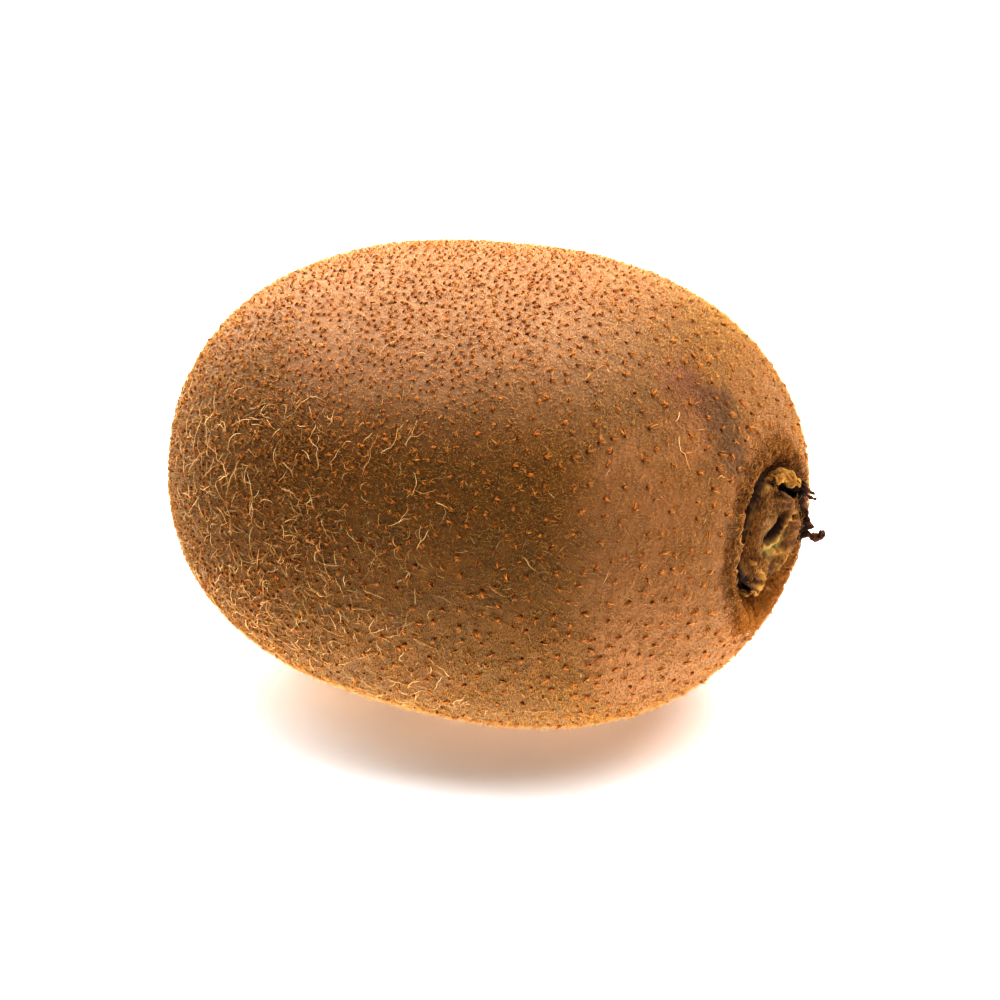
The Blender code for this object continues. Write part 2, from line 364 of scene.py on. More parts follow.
def unevenness(points, local_stem):
    """Height of lumps and of the folds round the stem over the smooth skin."""
    shape = bpy.context.scene.kiwi_shape
    lumps = sum(share * lattice_noise(points, size * MM, seed) for share, size, seed in SKIN_LUMPS)
    away = np.hypot(local_stem[..., 0], local_stem[..., 1])
    bearing = np.arctan2(local_stem[..., 1], local_stem[..., 0])
    wander = 1.4 * lattice_noise(points, 6.0 * MM, 15)
    fold = np.sin(19.0 * bearing + wander) * 0.6 + np.sin(31.0 * bearing - 2.0 * wander) * 0.4
    near_rim = smoothstep(5.5 * MM, 8.0 * MM, away) * smoothstep(15.0 * MM, 8.5 * MM, away)
    near_rim = near_rim * (local_stem[..., 2] > -8.0 * MM)
    return shape.lump_height * lumps + shape.pucker_height * near_rim * fold


@functools.lru_cache
def fruit_form():
    """The uneven skin: points, directions, and places in its own and in both ends' axes."""
    smooth = smooth_fruit()
    placing = row_placing()
    normals, _ = grid_directions(smooth)
    local_stem = moved(smooth, stem_frame().inverted())
    local_blossom = moved(smooth, blossom_frame().inverted())
    height = unevenness(smooth, local_stem)
    height[:, -1] = height[:, 0]
    points = moved(smooth + normals * height[..., None], placing)
    points[[0, -1]] = points[[0, -1]].mean(axis=1, keepdims=True)
    points[..., 2] = np.maximum(points[..., 2], 0.0)
    normals, stemward = grid_directions(points)
    return {
        "points": points, "normals": normals, "stemward": stemward,
        "own": smooth, "stem": local_stem, "blossom": local_blossom,
    }


def scattered(wanted, density, seed):
    """Random places on the skin: points, normals, stemward and crosswise directions, and own axes.

    density gives a weight for each point of the grid.
    """
    form = fruit_form()
    points = form["points"]
    sides = points[1:, :-1] - points[:-1, :-1], points[:-1, 1:] - points[:-1, :-1]
    area = np.linalg.norm(np.cross(*sides), axis=-1)
    weight = (area * density[:-1, :-1]).ravel()
    draw = np.random.default_rng(seed)
    cells = draw.choice(weight.size, size=wanted, p=weight / weight.sum())
    row, column = np.divmod(cells, SEGMENTS)
    down, right = draw.random((wanted, 1)), draw.random((wanted, 1))

    def between(grid):
        low = grid[row, column] * (1 - right) + grid[row, column + 1] * right
        high = grid[row + 1, column] * (1 - right) + grid[row + 1, column + 1] * right
        return low * (1 - down) + high * down

    normal, stemward = unit(between(form["normals"])), unit(between(form["stemward"]))
    return {
        "point": between(points), "normal": normal, "stemward": stemward,
        "across": unit(np.cross(normal, stemward)), "own": between(form["own"]),
        "stem": between(form["stem"]), "draw": draw,
        "stains": {name: between(grid[..., None])[:, 0] for name, grid in skin_stains().items()},
    }


def flat_of(local):
    """Distance of a place from an end's axis."""
    return np.hypot(local[..., 0], local[..., 1])


# Meshes


def mesh_from(name, points, quads, tris, quad_uv, tri_uv):
    """A mesh from arrays, with the map that the materials read."""
    mesh = bpy.data.meshes.new(name)
    corners = np.concatenate([quads.ravel(), tris.ravel()]).astype(np.int32)
    starts = np.concatenate([np.arange(len(quads)) * 4, 4 * len(quads) + np.arange(len(tris)) * 3])
    mesh.vertices.add(len(points))
    mesh.vertices.foreach_set("co", points.astype(np.float32).ravel())
    mesh.loops.add(len(corners))
    mesh.loops.foreach_set("vertex_index", corners)
    mesh.polygons.add(len(starts))
    mesh.polygons.foreach_set("loop_start", starts.astype(np.int32))
    places = np.concatenate([quad_uv.reshape(-1, 2), tri_uv.reshape(-1, 2)])
    layer = mesh.uv_layers.new(name="OFBake")
    layer.uv.foreach_set("vector", places.astype(np.float32).ravel())
    mesh.update(calc_edges=True)
    mesh.validate()
    return mesh


def grid_mesh(name, points, masks=None):
    """A closed skin from a grid whose first and last rows are single points."""
    rows, columns = points.shape[0] - 1, points.shape[1] - 1
    flat = np.concatenate([points[:1, 0], points[1:-1, :-1].reshape(-1, 3), points[-1:, 0]])
    last = len(flat) - 1
    row, column = np.meshgrid(np.arange(rows - 2), np.arange(columns), indexing="ij")
    row, column = row.ravel(), column.ravel()
    beside = (column + 1) % columns

    def at(ring, place):
        return 1 + ring * columns + place

    quads = np.stack(
        [at(row, column), at(row, beside), at(row + 1, beside), at(row + 1, column)], axis=1
    )
    u, v = column / columns, (row + 1) / rows
    next_u, next_v = u + 1 / columns, v + 1 / rows
    quad_uv = np.stack([u, v, next_u, v, next_u, next_v, u, next_v], axis=1)
    side = np.arange(columns)
    after = (side + 1) % columns
    first_fan = np.stack([np.zeros_like(side), at(0, after), at(0, side)], axis=1)
    final = rows - 2
    last_fan = np.stack([at(final, side), at(final, after), np.full_like(side, last)], axis=1)
    middle, left, right = (side + 0.5) / columns, side / columns, (side + 1) / columns
    one, zero, step = np.ones(columns), np.zeros(columns), np.full(columns, 1 / rows)
    fan_uv = np.concatenate([
        np.stack([middle, zero, right, step, left, step], axis=1),
        np.stack([left, one - step, right, one - step, middle, one], axis=1),
    ])
    mesh = mesh_from(name, flat, quads, np.concatenate([first_fan, last_fan]), quad_uv, fan_uv)
    for label, grid in (masks or {}).items():
        values = np.concatenate([grid[:1, 0], grid[1:-1, :-1].ravel(), grid[-1:, 0]])
        write_mask(mesh, label, values)
    return mesh


def write_mask(mesh, label, values):
    layer = mesh.attributes.new(label, "FLOAT", "POINT")
    layer.data.foreach_set("value", values.astype(np.float32))


def strand_mesh(name, paths, widths, tones, sides=3, stains=None):
    """Tapering closed strands. paths: strand, point, xyz. widths: strand, point.

    On the map, u holds each strand's own tone and v runs from its foot to its tip.
    """
    total, stops = paths.shape[:2]
    rings = stops - 1
    ahead = unit(np.gradient(paths, axis=1))
    spare = np.where(np.abs(ahead[:, :1, 2:]) > 0.8, [[[1.0, 0.0, 0.0]]], [[[0.0, 0.0, 1.0]]])
    side = unit(np.cross(np.broadcast_to(spare, ahead.shape), ahead))
    other = np.cross(ahead, side)
    bearing = TURN * np.arange(sides) / sides
    side, other = side[:, :rings, None], other[:, :rings, None]
    spokes = np.cos(bearing)[:, None] * side + np.sin(bearing)[:, None] * other
    tube = paths[:, :rings, None] + widths[:, :rings, None, None] * spokes
    per = rings * sides + 1
    points = np.concatenate([tube.reshape(total, -1, 3), paths[:, -1:]], axis=1).reshape(-1, 3)
    quads, quad_places, tris, tri_places = [], [], [], []
    for ring in range(rings - 1):
        for place in range(sides):
            low, high = ring * sides, (ring + 1) * sides
            after = (place + 1) % sides
            right, above = place + 1, ring + 1
            quads.append((low + place, low + after, high + after, high + place))
            quad_places.append(((place, ring), (right, ring), (right, above), (place, above)))
    top = (rings - 1) * sides
    for place in range(sides):
        tris.append((top + place, top + (place + 1) % sides, rings * sides))
        tri_places.append(((place, rings - 1), (place + 1, rings - 1), (place + 0.5, rings)))
    for place in range(1, sides - 1):
        tris.append((0, place + 1, place))
        tri_places.append(((0, 0), (place + 1, 0.2), (place, 0.1)))
    first = (np.arange(total) * per)[:, None, None]
    quads = (np.array(quads, dtype=np.int64).reshape(-1, 4)[None] + first).reshape(-1, 4)
    tris = (np.array(tris)[None] + first).reshape(-1, 3)
    scale = np.array([0.02 / sides, 1.0 / rings])
    start = np.stack([0.98 * tones, np.zeros(total)], axis=1)[:, None, None]
    quad_uv = np.array(quad_places, dtype=float).reshape(-1, 4, 2)[None] * scale + start
    tri_uv = np.array(tri_places, dtype=float)[None] * scale + start
    mesh = mesh_from(name, points, quads, tris, quad_uv, tri_uv)
    for label, values in (stains or {}).items():
        write_mask(mesh, label, np.repeat(values, per))
    return mesh


def clear_older(name):
    """Removes what an earlier press of the same button made."""
    old = bpy.data.objects.get(name)
    if old is not None:
        bpy.data.objects.remove(old, do_unlink=True)


def piece(name, mesh, finish, slot, *nodes):
    """Makes one shown piece that rides on the fruit."""
    clear_older(name)
    mesh.materials.append(finish)
    mesh.shade_smooth()
    made = bpy.data.objects.new(name, mesh)
    bpy.context.scene.collection.objects.link(made)
    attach(made, "root")
    if nodes:
        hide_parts(*nodes)
    return made


# Shader nodes


class Nodes:
    """Adds nodes to one tree. An input may be a value or another node's output."""

    def __init__(self, tree):
        self.tree = tree

    def add(self, kind, inputs=None, **settings):
        made = self.tree.nodes.new(kind)
        for key, value in settings.items():
            setattr(made, key, value)
        for key, value in (inputs or {}).items():
            if isinstance(value, bpy.types.NodeSocket):
                self.tree.links.new(value, made.inputs[key])
            else:
                made.inputs[key].default_value = value
        return made

    def math(self, operation, first, second=0.0, third=0.0):
        inputs = {0: first, 1: second, 2: third}
        return self.add("ShaderNodeMath", inputs, operation=operation).outputs[0]

    def mix(self, share, first, second, blend="MIX"):
        inputs = {0: share, 6: first, 7: second}
        return self.add("ShaderNodeMix", inputs, data_type="RGBA", blend_type=blend).outputs[2]

    def span(self, value, low, high, to_low=0.0, to_high=1.0):
        """Eases value from one range to another."""
        inputs = {0: value, 1: low, 2: high, 3: to_low, 4: to_high}
        return self.add("ShaderNodeMapRange", inputs, interpolation_type="SMOOTHSTEP").outputs[0]

    def noise(self, vector, scale, detail=2.0, roughness=0.5, distortion=0.0):
        inputs = {
            "Vector": vector, "Scale": scale, "Detail": detail, "Roughness": roughness,
            "Distortion": distortion,
        }
        return self.add("ShaderNodeTexNoise", inputs).outputs[0]

    def cells(self, vector, scale):
        """Distance to the middle of the nearest cell."""
        return self.add("ShaderNodeTexVoronoi", {"Vector": vector, "Scale": scale}).outputs[0]

    def stretched(self, vector, scale):
        inputs = {0: vector, 1: scale}
        return self.add("ShaderNodeVectorMath", inputs, operation="MULTIPLY").outputs[0]

    def place(self):
        """Place on the piece, in metres."""
        return self.add("ShaderNodeTexCoord").outputs["Object"]

    def mapped(self):
        """Place on the piece's map."""
        return self.add("ShaderNodeUVMap", uv_map="OFBake").outputs[0]

    def mask(self, label):
        return self.add("ShaderNodeAttribute", attribute_name=label).outputs["Fac"]


def opaque(linear):
    return (*linear, 1.0)


def effect(name, inputs, outputs):
    """An empty node group with named sockets: its nodes, its input node and its output node."""
    tree = bpy.data.node_groups.new(name, "ShaderNodeTree")
    for label, kind, default in inputs:
        made = tree.interface.new_socket(label, in_out="INPUT", socket_type=kind)
        if default is not None:
            made.default_value = default
    for label, kind in outputs:
        tree.interface.new_socket(label, in_out="OUTPUT", socket_type=kind)
    entry, result = tree.nodes.new("NodeGroupInput"), tree.nodes.new("NodeGroupOutput")
    return tree, entry.outputs, result.inputs


def kept_effect(build):
    """Builds the effect once, and gives the same group to every material."""
    def found():
        return bpy.data.node_groups.get(build.__name__) or build()
    return found


FLOAT, COLOUR, VECTOR = "NodeSocketFloat", "NodeSocketColor", "NodeSocketVector"


@kept_effect
def dry_mottle():
    """Uneven drying: broad and fine patches, as a mask from 0 to 1."""
    tree, given, result = effect(
        "dry_mottle",
        [("Place", VECTOR, None), ("Scale", FLOAT, 400.0), ("Contrast", FLOAT, 0.6)],
        [("Mask", FLOAT), ("Height", FLOAT)],
    )
    nodes = Nodes(tree)
    broad = nodes.noise(given["Place"], given["Scale"], 4.0, 0.6)
    fine = nodes.noise(given["Place"], nodes.math("MULTIPLY", given["Scale"], 4.7), 3.0, 0.6)
    both = nodes.math("MULTIPLY_ADD", fine, 0.4, nodes.math("MULTIPLY", broad, 0.6))
    half = nodes.math("MULTIPLY", given["Contrast"], 0.22)
    spread = nodes.math("SUBTRACT", 0.24, half)
    low, high = nodes.math("SUBTRACT", 0.5, spread), nodes.math("ADD", 0.5, spread)
    tree.links.new(nodes.span(both, low, high), result["Mask"])
    tree.links.new(both, result["Height"])
    return tree


@kept_effect
def fibre_grain():
    """Fine fibres that run along the first axis of the place given."""
    tree, given, result = effect(
        "fibre_grain",
        [("Place", VECTOR, None), ("Scale", FLOAT, 2000.0), ("Stretch", VECTOR, (0.25, 1.0, 1.0))],
        [("Mask", FLOAT), ("Height", FLOAT)],
    )
    nodes = Nodes(tree)
    place = nodes.stretched(given["Place"], given["Stretch"])
    noise = nodes.noise(place, given["Scale"], detail=3.0, roughness=0.62, distortion=0.35)
    tree.links.new(nodes.span(noise, 0.36, 0.64), result["Mask"])
    tree.links.new(noise, result["Height"])
    return tree


@kept_effect
def strand_tone():
    """Colour of a hair: from foot to tip, lighter or darker by its own tone, a few of them odd."""
    tree, given, result = effect(
        "strand_tone",
        [
            ("Place", VECTOR, None), ("Root", COLOUR, None), ("Tip", COLOUR, None),
            ("Odd", COLOUR, None), ("Odd Share", FLOAT, 0.1), ("Contrast", FLOAT, 0.3),
            ("Reach", FLOAT, 0.8),
        ],
        [("Colour", COLOUR)],
    )
    nodes = Nodes(tree)
    parts = nodes.add("ShaderNodeSeparateXYZ", {0: given["Place"]}).outputs
    tone, ahead = parts[0], parts[1]
    plain = nodes.mix(nodes.span(ahead, 0.0, given["Reach"]), given["Root"], given["Tip"])
    lottery = nodes.math("FRACT", nodes.math("MULTIPLY", tone, 37.0))
    is_odd = nodes.span(nodes.math("SUBTRACT", given["Odd Share"], lottery), -0.01, 0.01)
    mixed = nodes.mix(nodes.math("MULTIPLY", is_odd, 0.8), plain, given["Odd"])
    swing = nodes.math("MULTIPLY", nodes.math("SUBTRACT", tone, 0.5), given["Contrast"])
    level = nodes.math("MULTIPLY_ADD", swing, 2.0, 1.0)
    grey = nodes.add("ShaderNodeCombineColor", {0: level, 1: level, 2: level}).outputs[0]
    tree.links.new(nodes.mix(1.0, mixed, grey, "MULTIPLY"), result["Colour"])
    return tree


def use_effect(nodes, group, **inputs):
    made = nodes.tree.nodes.new("ShaderNodeGroup")
    made.node_tree = group
    for key, value in inputs.items():
        label = key.replace("_", " ")
        if isinstance(value, bpy.types.NodeSocket):
            nodes.tree.links.new(value, made.inputs[label])
        else:
            made.inputs[label].default_value = value
    return made.outputs


WHITE = (1.0, 1.0, 1.0)


def new_material(name, roughness, sheen=0.0, sheen_roughness=0.5, tint=WHITE, specular=0.3):
    """A matt dry surface. Returns the material, its nodes and its shader."""
    made = bpy.data.materials.new(name)
    made.use_nodes = True
    shader = made.node_tree.nodes["Principled BSDF"]
    shader.inputs["Roughness"].default_value = roughness
    shader.inputs["Specular IOR Level"].default_value = specular
    shader.inputs["Sheen Weight"].default_value = sheen
    shader.inputs["Sheen Roughness"].default_value = sheen_roughness
    shader.inputs["Sheen Tint"].default_value = opaque(tint)
    return made, Nodes(made.node_tree), shader


def bump(nodes, shader, height, distance, strength=1.0):
    inputs = {"Height": height, "Distance": distance, "Strength": strength}
    made = nodes.add("ShaderNodeBump", inputs)
    nodes.tree.links.new(made.outputs[0], shader.inputs["Normal"])


def stained(nodes, tint, shares):
    """Lays the skin's stains, and its painted sheen, highlight and shade, over a colour."""
    look = bpy.context.scene.kiwi_skin
    for label, share in shares.items():
        cover = nodes.math("MULTIPLY", nodes.mask(label), share)
        tint = nodes.mix(cover, tint, opaque(getattr(look, label)))
    return tint


def strand_material(name, root, tip, odd, odd_share, contrast, roughness=0.55, sheen=0.0,
                    stains=None, reach=0.8, specular=0.25):
    """A hair's finish. reach is the share of its length over which the foot's colour fades."""
    made, nodes, shader = new_material(
        name, roughness, sheen, sheen_roughness=0.4, tint=(1.0, 0.82, 0.66), specular=specular
    )
    tone = use_effect(
        nodes, strand_tone(), Place=nodes.mapped(), Root=opaque(root), Tip=opaque(tip),
        Odd=opaque(odd), Odd_Share=odd_share, Contrast=contrast, Reach=reach,
    )
    tint = stained(nodes, tone["Colour"], stains or {})
    nodes.tree.links.new(tint, shader.inputs["Base Color"])
    return made


# How strongly each stain, and each painted sheen, highlight or shade, covers the skin and the felt
# on it.
SKIN_STAINS = {"sunny": 0.25, "blush": 0.5, "plum": 0.7, "ochre": 0.8, "umber": 1.0}
FELT_STAINS = {"sunny": 0.55, "blush": 0.45, "plum": 0.55, "ochre": 0.75, "umber": 0.55}


def skin_material():
    """Olive brown skin with matted hairs, pores, stains and painted sheen, highlight and shade."""
    look = bpy.context.scene.kiwi_skin
    made, nodes, shader = new_material(
        "kiwi_skin", 0.7, sheen=0.75, sheen_roughness=0.36, tint=(1.0, 0.80, 0.62), specular=0.45
    )
    place = nodes.place()
    mottle = use_effect(nodes, dry_mottle(), Place=place, Scale=130.0, Contrast=0.2)
    grain = use_effect(
        nodes, fibre_grain(), Place=place, Scale=3600.0, Stretch=(0.45, 1.0, 1.0)
    )
    patches = nodes.noise(place, 620.0, detail=3.0, roughness=0.6)
    base = nodes.mix(mottle["Mask"], opaque(look.deep), opaque(look.warm))
    base = nodes.mix(nodes.span(patches, 0.35, 0.7, 0.0, 0.35), base, opaque(look.grain))
    base = nodes.mix(nodes.math("MULTIPLY", grain["Mask"], 0.45), base, opaque(look.grain))
    pores = nodes.span(nodes.cells(place, 1500.0), 0.30, 0.16)
    base = nodes.mix(nodes.math("MULTIPLY", pores, 0.55), base, opaque(look.speck_root))
    base = stained(nodes, base, SKIN_STAINS)
    nodes.tree.links.new(base, shader.inputs["Base Color"])
    rough = nodes.math("MULTIPLY_ADD", grain["Mask"], 0.15, 0.62)
    nodes.tree.links.new(rough, shader.inputs["Roughness"])
    relief = nodes.math("MULTIPLY_ADD", pores, -0.5, grain["Height"])
    bump(nodes, shader, relief, 0.12 * MM, 0.6)
    return made


# Skin, specks and hairs


def off_spot(own, place, reach):
    """How far from a spot, seen from above: 1 at its reach. place and reach in millimetres."""
    return np.hypot(*((own[..., axis] / MM - place[axis]) / reach[axis] for axis in range(2)))


@functools.lru_cache
def skin_stains():
    """Where the skin is stained or painted with sheen, highlight or shade, from 0 to 1 at each
    point of the grid. In millimetres.
    """
    form = fruit_form()
    stem, blossom, own = form["stem"], form["blossom"], form["own"]
    along, upper_half = own[..., 0] / MM, own[..., 2] > 0.0
    away, outside = flat_of(stem) / MM, stem[..., 2] > -12.0 * MM
    bearing = np.arctan2(stem[..., 1], stem[..., 0])
    noise = rough_noise(own, 3.0 * MM, 21)
    upper = own[..., 2] / MM + 2.5 * lattice_noise(own, 9.0 * MM, 22)

    # Painted sheen: paler on the upper side, where the light from above falls, less so towards the
    # stem.
    sunny = smoothstep(10.5, 21.5, upper) * (1.0 - 0.75 * smoothstep(10.0, 24.0, along))
    # A pinkish ring round the stem hollow, and a painted highlight: a paler belt round the sides
    # of the stem half.
    blush = smoothstep(8.8, 10.2, away) * smoothstep(14.5, 11.5, away + 0.8 * noise) * outside
    belt = smoothstep(16.0, 22.0, along) * smoothstep(30.0, 26.5, along)
    blush = np.maximum(blush, belt * smoothstep(17.0, 11.0, upper) * (1.0 + 0.4 * noise))
    # A bruise on the shoulder.
    shoulder = off_spot(own, (24.2, -6.0), (3.4, 4.2))
    plum = 0.7 * smoothstep(1.35, 0.0, shoulder + 0.45 * noise) * upper_half
    # A bright stain below the stem hollow.
    below = smoothstep(0.75, 0.35, np.abs(np.abs(bearing) - math.pi + 0.35))
    ochre = smoothstep(13.5, 8.5, away + 1.3 * noise) * outside * below
    # Dirty brown in a patch above the stem, and darker brown in both hollows that is partly
    # painted shade.
    ring = smoothstep(8.6, 6.4, away + 0.9 * noise) * outside
    dimple = smoothstep(4.6, 2.4, flat_of(blossom) / MM + 0.5 * noise)
    dimple = dimple * (blossom[..., 2] > -4.0 * MM)
    patch = off_spot(own, (27.0, -5.0), (3.0, 3.6))
    patch = 0.55 * smoothstep(1.35, 0.2, patch + 0.6 * noise) * upper_half
    return {
        "sunny": sunny, "umber": np.maximum(np.maximum(ring, dimple), patch),
        "ochre": ochre, "plum": plum, "blush": np.clip(blush, 0.0, 1.0),
    }


def build_skin():
    form = fruit_form()
    mesh = grid_mesh("skin", form["points"], skin_stains())
    return piece("skin", mesh, skin_material(), "skin", "fruit")


def lying_paths(spot, heading, sizes, lift, stops, bend=0.0):
    """Hairs that leave the skin and lie down along their heading."""
    draw = spot["draw"]
    total = len(sizes)
    ahead = np.cos(heading)[:, None] * spot["stemward"] + np.sin(heading)[:, None] * spot["across"]
    aside = np.cross(spot["normal"], ahead)
    curl = draw.normal(0.0, bend, total)[:, None, None] if bend else 0.0
    share = np.linspace(0.0, 1.0, stops)[None, :, None]
    forward = share * sizes[:, None, None]
    rise = lift[:, None, None] * forward * (1.0 - 0.55 * share) - 0.03 * MM * (1.0 - share)
    sideways = curl * forward * share
    path = (
        spot["point"][:, None] + forward * ahead[:, None] + sideways * aside[:, None]
        + rise * spot["normal"][:, None]
    )
    path[..., 2] = np.maximum(path[..., 2], 0.03 * MM)
    return path


def spaced_out(points, apart):
    """Indices of the points that keep their distance from all the earlier ones."""
    tree = kdtree.KDTree(len(apart))
    for index, point in enumerate(points):
        tree.insert(point, index)
    tree.balance()
    taken = np.zeros(len(apart), dtype=bool)
    kept = []
    for index, point in enumerate(points):
        if not taken[index]:
            kept.append(index)
            for _, other, _ in tree.find_range(point, apart[index]):
                taken[other] = True
    return kept


def speck_crowd(own):
    """1 where the specks stand close together, 0 on the stem half."""
    return smoothstep(13.0, -5.0, own[..., 0] / MM - 0.75 * (own[..., 2] / MM - 8.0))


def girths(draw, total, radius, spread, taper):
    """Half widths of a crowd of strands: each its own share of the radius, times the taper."""
    return radius * draw.uniform(*spread, total)[:, None] * np.array(taper)


def in_thirds(name, finish, paths, widths, tones, sides=3):
    """Shows a crowd of strands as three pieces, which keeps each of them light."""
    for part in range(3):
        own = slice(part, None, 3)
        label = f"{name}_{part + 1}"
        mesh = strand_mesh(label, paths[own], widths[own], tones[own], sides)
        piece(label, mesh, finish, "skin")


SPECK_SIDES = 6
SPECK_OUTLINE = np.array([0.95, 1.05, 0.9, 0.6, 0.0])
SPECK_GAP, CROWDED_LOSS = 1.50, 0.86  # millimetres between neighbours, and its loss in a crowd
HAIRS_PER_SPECK = 5


def speck_places(look):
    """Spots with even gaps between them, closer on the blossom half, and how close."""
    form = fruit_form()
    clear = smoothstep(9.5, 12.0, flat_of(form["stem"]) / MM)
    clear = np.where(form["stem"][..., 2] < -10.0 * MM, 1.0, clear)
    spot = scattered(look.specks, (0.35 + speck_crowd(form["own"])) * clear + 1e-6, 31)
    crowd = speck_crowd(spot["own"])
    apart = (SPECK_GAP - CROWDED_LOSS * crowd) * MM
    apart *= 1.0 + 0.25 * lattice_noise(spot["own"], 5.0 * MM, 33)
    kept = spaced_out(spot["point"], apart)
    chosen = {key: spot[key][kept] for key in ("point", "normal", "stemward", "across")}
    return chosen, crowd[kept], spot["draw"]


def grow_specks():
    """Rusty specks that lean over from a dark foot, partly painted shade, each with a few short
    hairs round it.
    """
    look = bpy.context.scene.kiwi_skin
    spot, crowd, draw = speck_places(look)
    total = len(crowd)
    heading = draw.normal(0.5, 0.8, total) + math.pi * (draw.random(total) < 0.3)
    sizes = look.speck_length * draw.uniform(0.55, 1.35, total) * (1.15 - 0.35 * crowd)
    ahead = np.cos(heading)[:, None] * spot["stemward"] + np.sin(heading)[:, None] * spot["across"]
    share = np.linspace(0.0, 1.0, len(SPECK_OUTLINE))
    climb = draw.uniform(0.20, 0.32, total)[:, None] * np.sin(share * 2.0) ** 0.8 - 0.02
    paths = (
        spot["point"][:, None] + (share * sizes[:, None])[..., None] * ahead[:, None]
        + (climb * MM)[..., None] * spot["normal"][:, None]
    )
    paths[..., 2] = np.maximum(paths[..., 2], 0.05 * MM)
    fat = look.speck_radius * draw.uniform(0.60, 1.25, total) * (1.12 - 0.30 * crowd)
    tones = draw.random(total)
    fat = fat[:, None] * SPECK_OUTLINE * draw.uniform(0.75, 1.25, (total, len(SPECK_OUTLINE)))
    finish = strand_material(
        "speck_rust", look.speck_root, look.speck_tip, look.speck_root, odd_share=0.16,
        contrast=0.3, roughness=0.6, reach=0.45,
    )
    in_thirds("specks", finish, paths, fat, tones, SPECK_SIDES)

    hairs = total * HAIRS_PER_SPECK
    spot = {key: np.repeat(spot[key], HAIRS_PER_SPECK, axis=0) for key in spot}
    spot["draw"] = draw
    spot["point"] = spot["point"] + draw.normal(0.0, 0.07 * MM, (hairs, 3))
    heading = np.repeat(heading, HAIRS_PER_SPECK) + draw.normal(0.0, 0.6, hairs)
    sizes = np.repeat(sizes, HAIRS_PER_SPECK) * draw.uniform(0.7, 1.4, hairs)
    lift = draw.uniform(0.6, 1.4, hairs)
    taper = (1.0, 0.8, 0.0)
    widths = girths(draw, hairs, 0.040 * MM, (0.7, 1.2), taper)
    paths = lying_paths(spot, heading, sizes, lift, len(taper), bend=0.3)
    finish = strand_material(
        "tuft_rust", look.speck_root, look.tuft_tip, look.speck_root, odd_share=0.1,
        contrast=0.35, roughness=0.6, reach=0.5,
    )
    in_thirds("rusty_tufts", finish, paths, widths, draw.random(hairs))


def felt_density(form, least):
    """Weight of the felt: least on the blossom half, 1 on the stem half."""
    own = form["own"] / MM
    inside = smoothstep(5.2, 7.5, flat_of(form["stem"]) / MM)
    inside = np.where(form["stem"][..., 2] < -6.0 * MM, 1.0, inside)
    patchy = 1.0 + 0.30 * rough_noise(form["own"], 4.0 * MM, 41)
    stem_half = least + (1.0 - least) * smoothstep(2.0, 18.0, own[..., 0])
    return inside * np.clip(patchy, 0.3, None) * stem_half


# Two layers: short hairs that lie down, and straight, nearly upright ones. most is the number of
# hairs in one piece; least is the density on the blossom half; comb is how far the hairs follow
# each other's heading, and stray how far they leave it; against is the share that points back.
FELT_LAYERS = (
    {
        "name": "felt", "hairs": "short_hairs", "length": "short_length", "most": 19500,
        "seed": 51, "least": 0.28, "comb": 0.9, "stray": 0.75, "against": 0.35,
        "sizes": (0.5, 1.45), "lift": (0.60, 0.30), "bend": 0.35, "spread": (0.7, 1.3),
        "taper": (1.0, 0.75, 0.0),
    },
    {
        "name": "needles", "hairs": "needles", "length": "needle_length", "most": 40000,
        "seed": 56, "least": 0.85, "comb": 0.0, "stray": 1.1, "against": 0.4,
        "sizes": (0.5, 1.4), "lift": (4.6, 1.4), "bend": 0.0, "spread": (0.7, 1.2),
        "taper": (1.0, 0.0),
    },
)


def grow_felt_layer(layer, finish):
    """Grows one layer of the felt, in as many pieces as it needs."""
    felt = bpy.context.scene.kiwi_felt
    hairs, mean = getattr(felt, layer["hairs"]), getattr(felt, layer["length"])
    density = felt_density(fruit_form(), layer["least"])
    pieces = max(1, math.ceil(hairs / layer["most"]))
    total = hairs // pieces
    for index in range(pieces):
        spot = scattered(total, density, layer["seed"] + index)
        draw = spot["draw"]
        comb = layer["comb"] * lattice_noise(spot["own"], 7.0 * MM, 42) if layer["comb"] else 0.0
        heading = comb + draw.normal(0.0, layer["stray"], total)
        heading = heading + math.pi * (draw.random(total) < layer["against"])
        sizes = mean * draw.uniform(*layer["sizes"], total)
        lift = np.abs(draw.normal(*layer["lift"], total))
        paths = lying_paths(spot, heading, sizes, lift, len(layer["taper"]), layer["bend"])
        widths = girths(draw, total, felt.short_radius, layer["spread"], layer["taper"])
        name = f"{layer['name']}_{index + 1}"
        mesh = strand_mesh(name, paths, widths, draw.random(total), stains=spot["stains"])
        piece(name, mesh, finish, "skin")


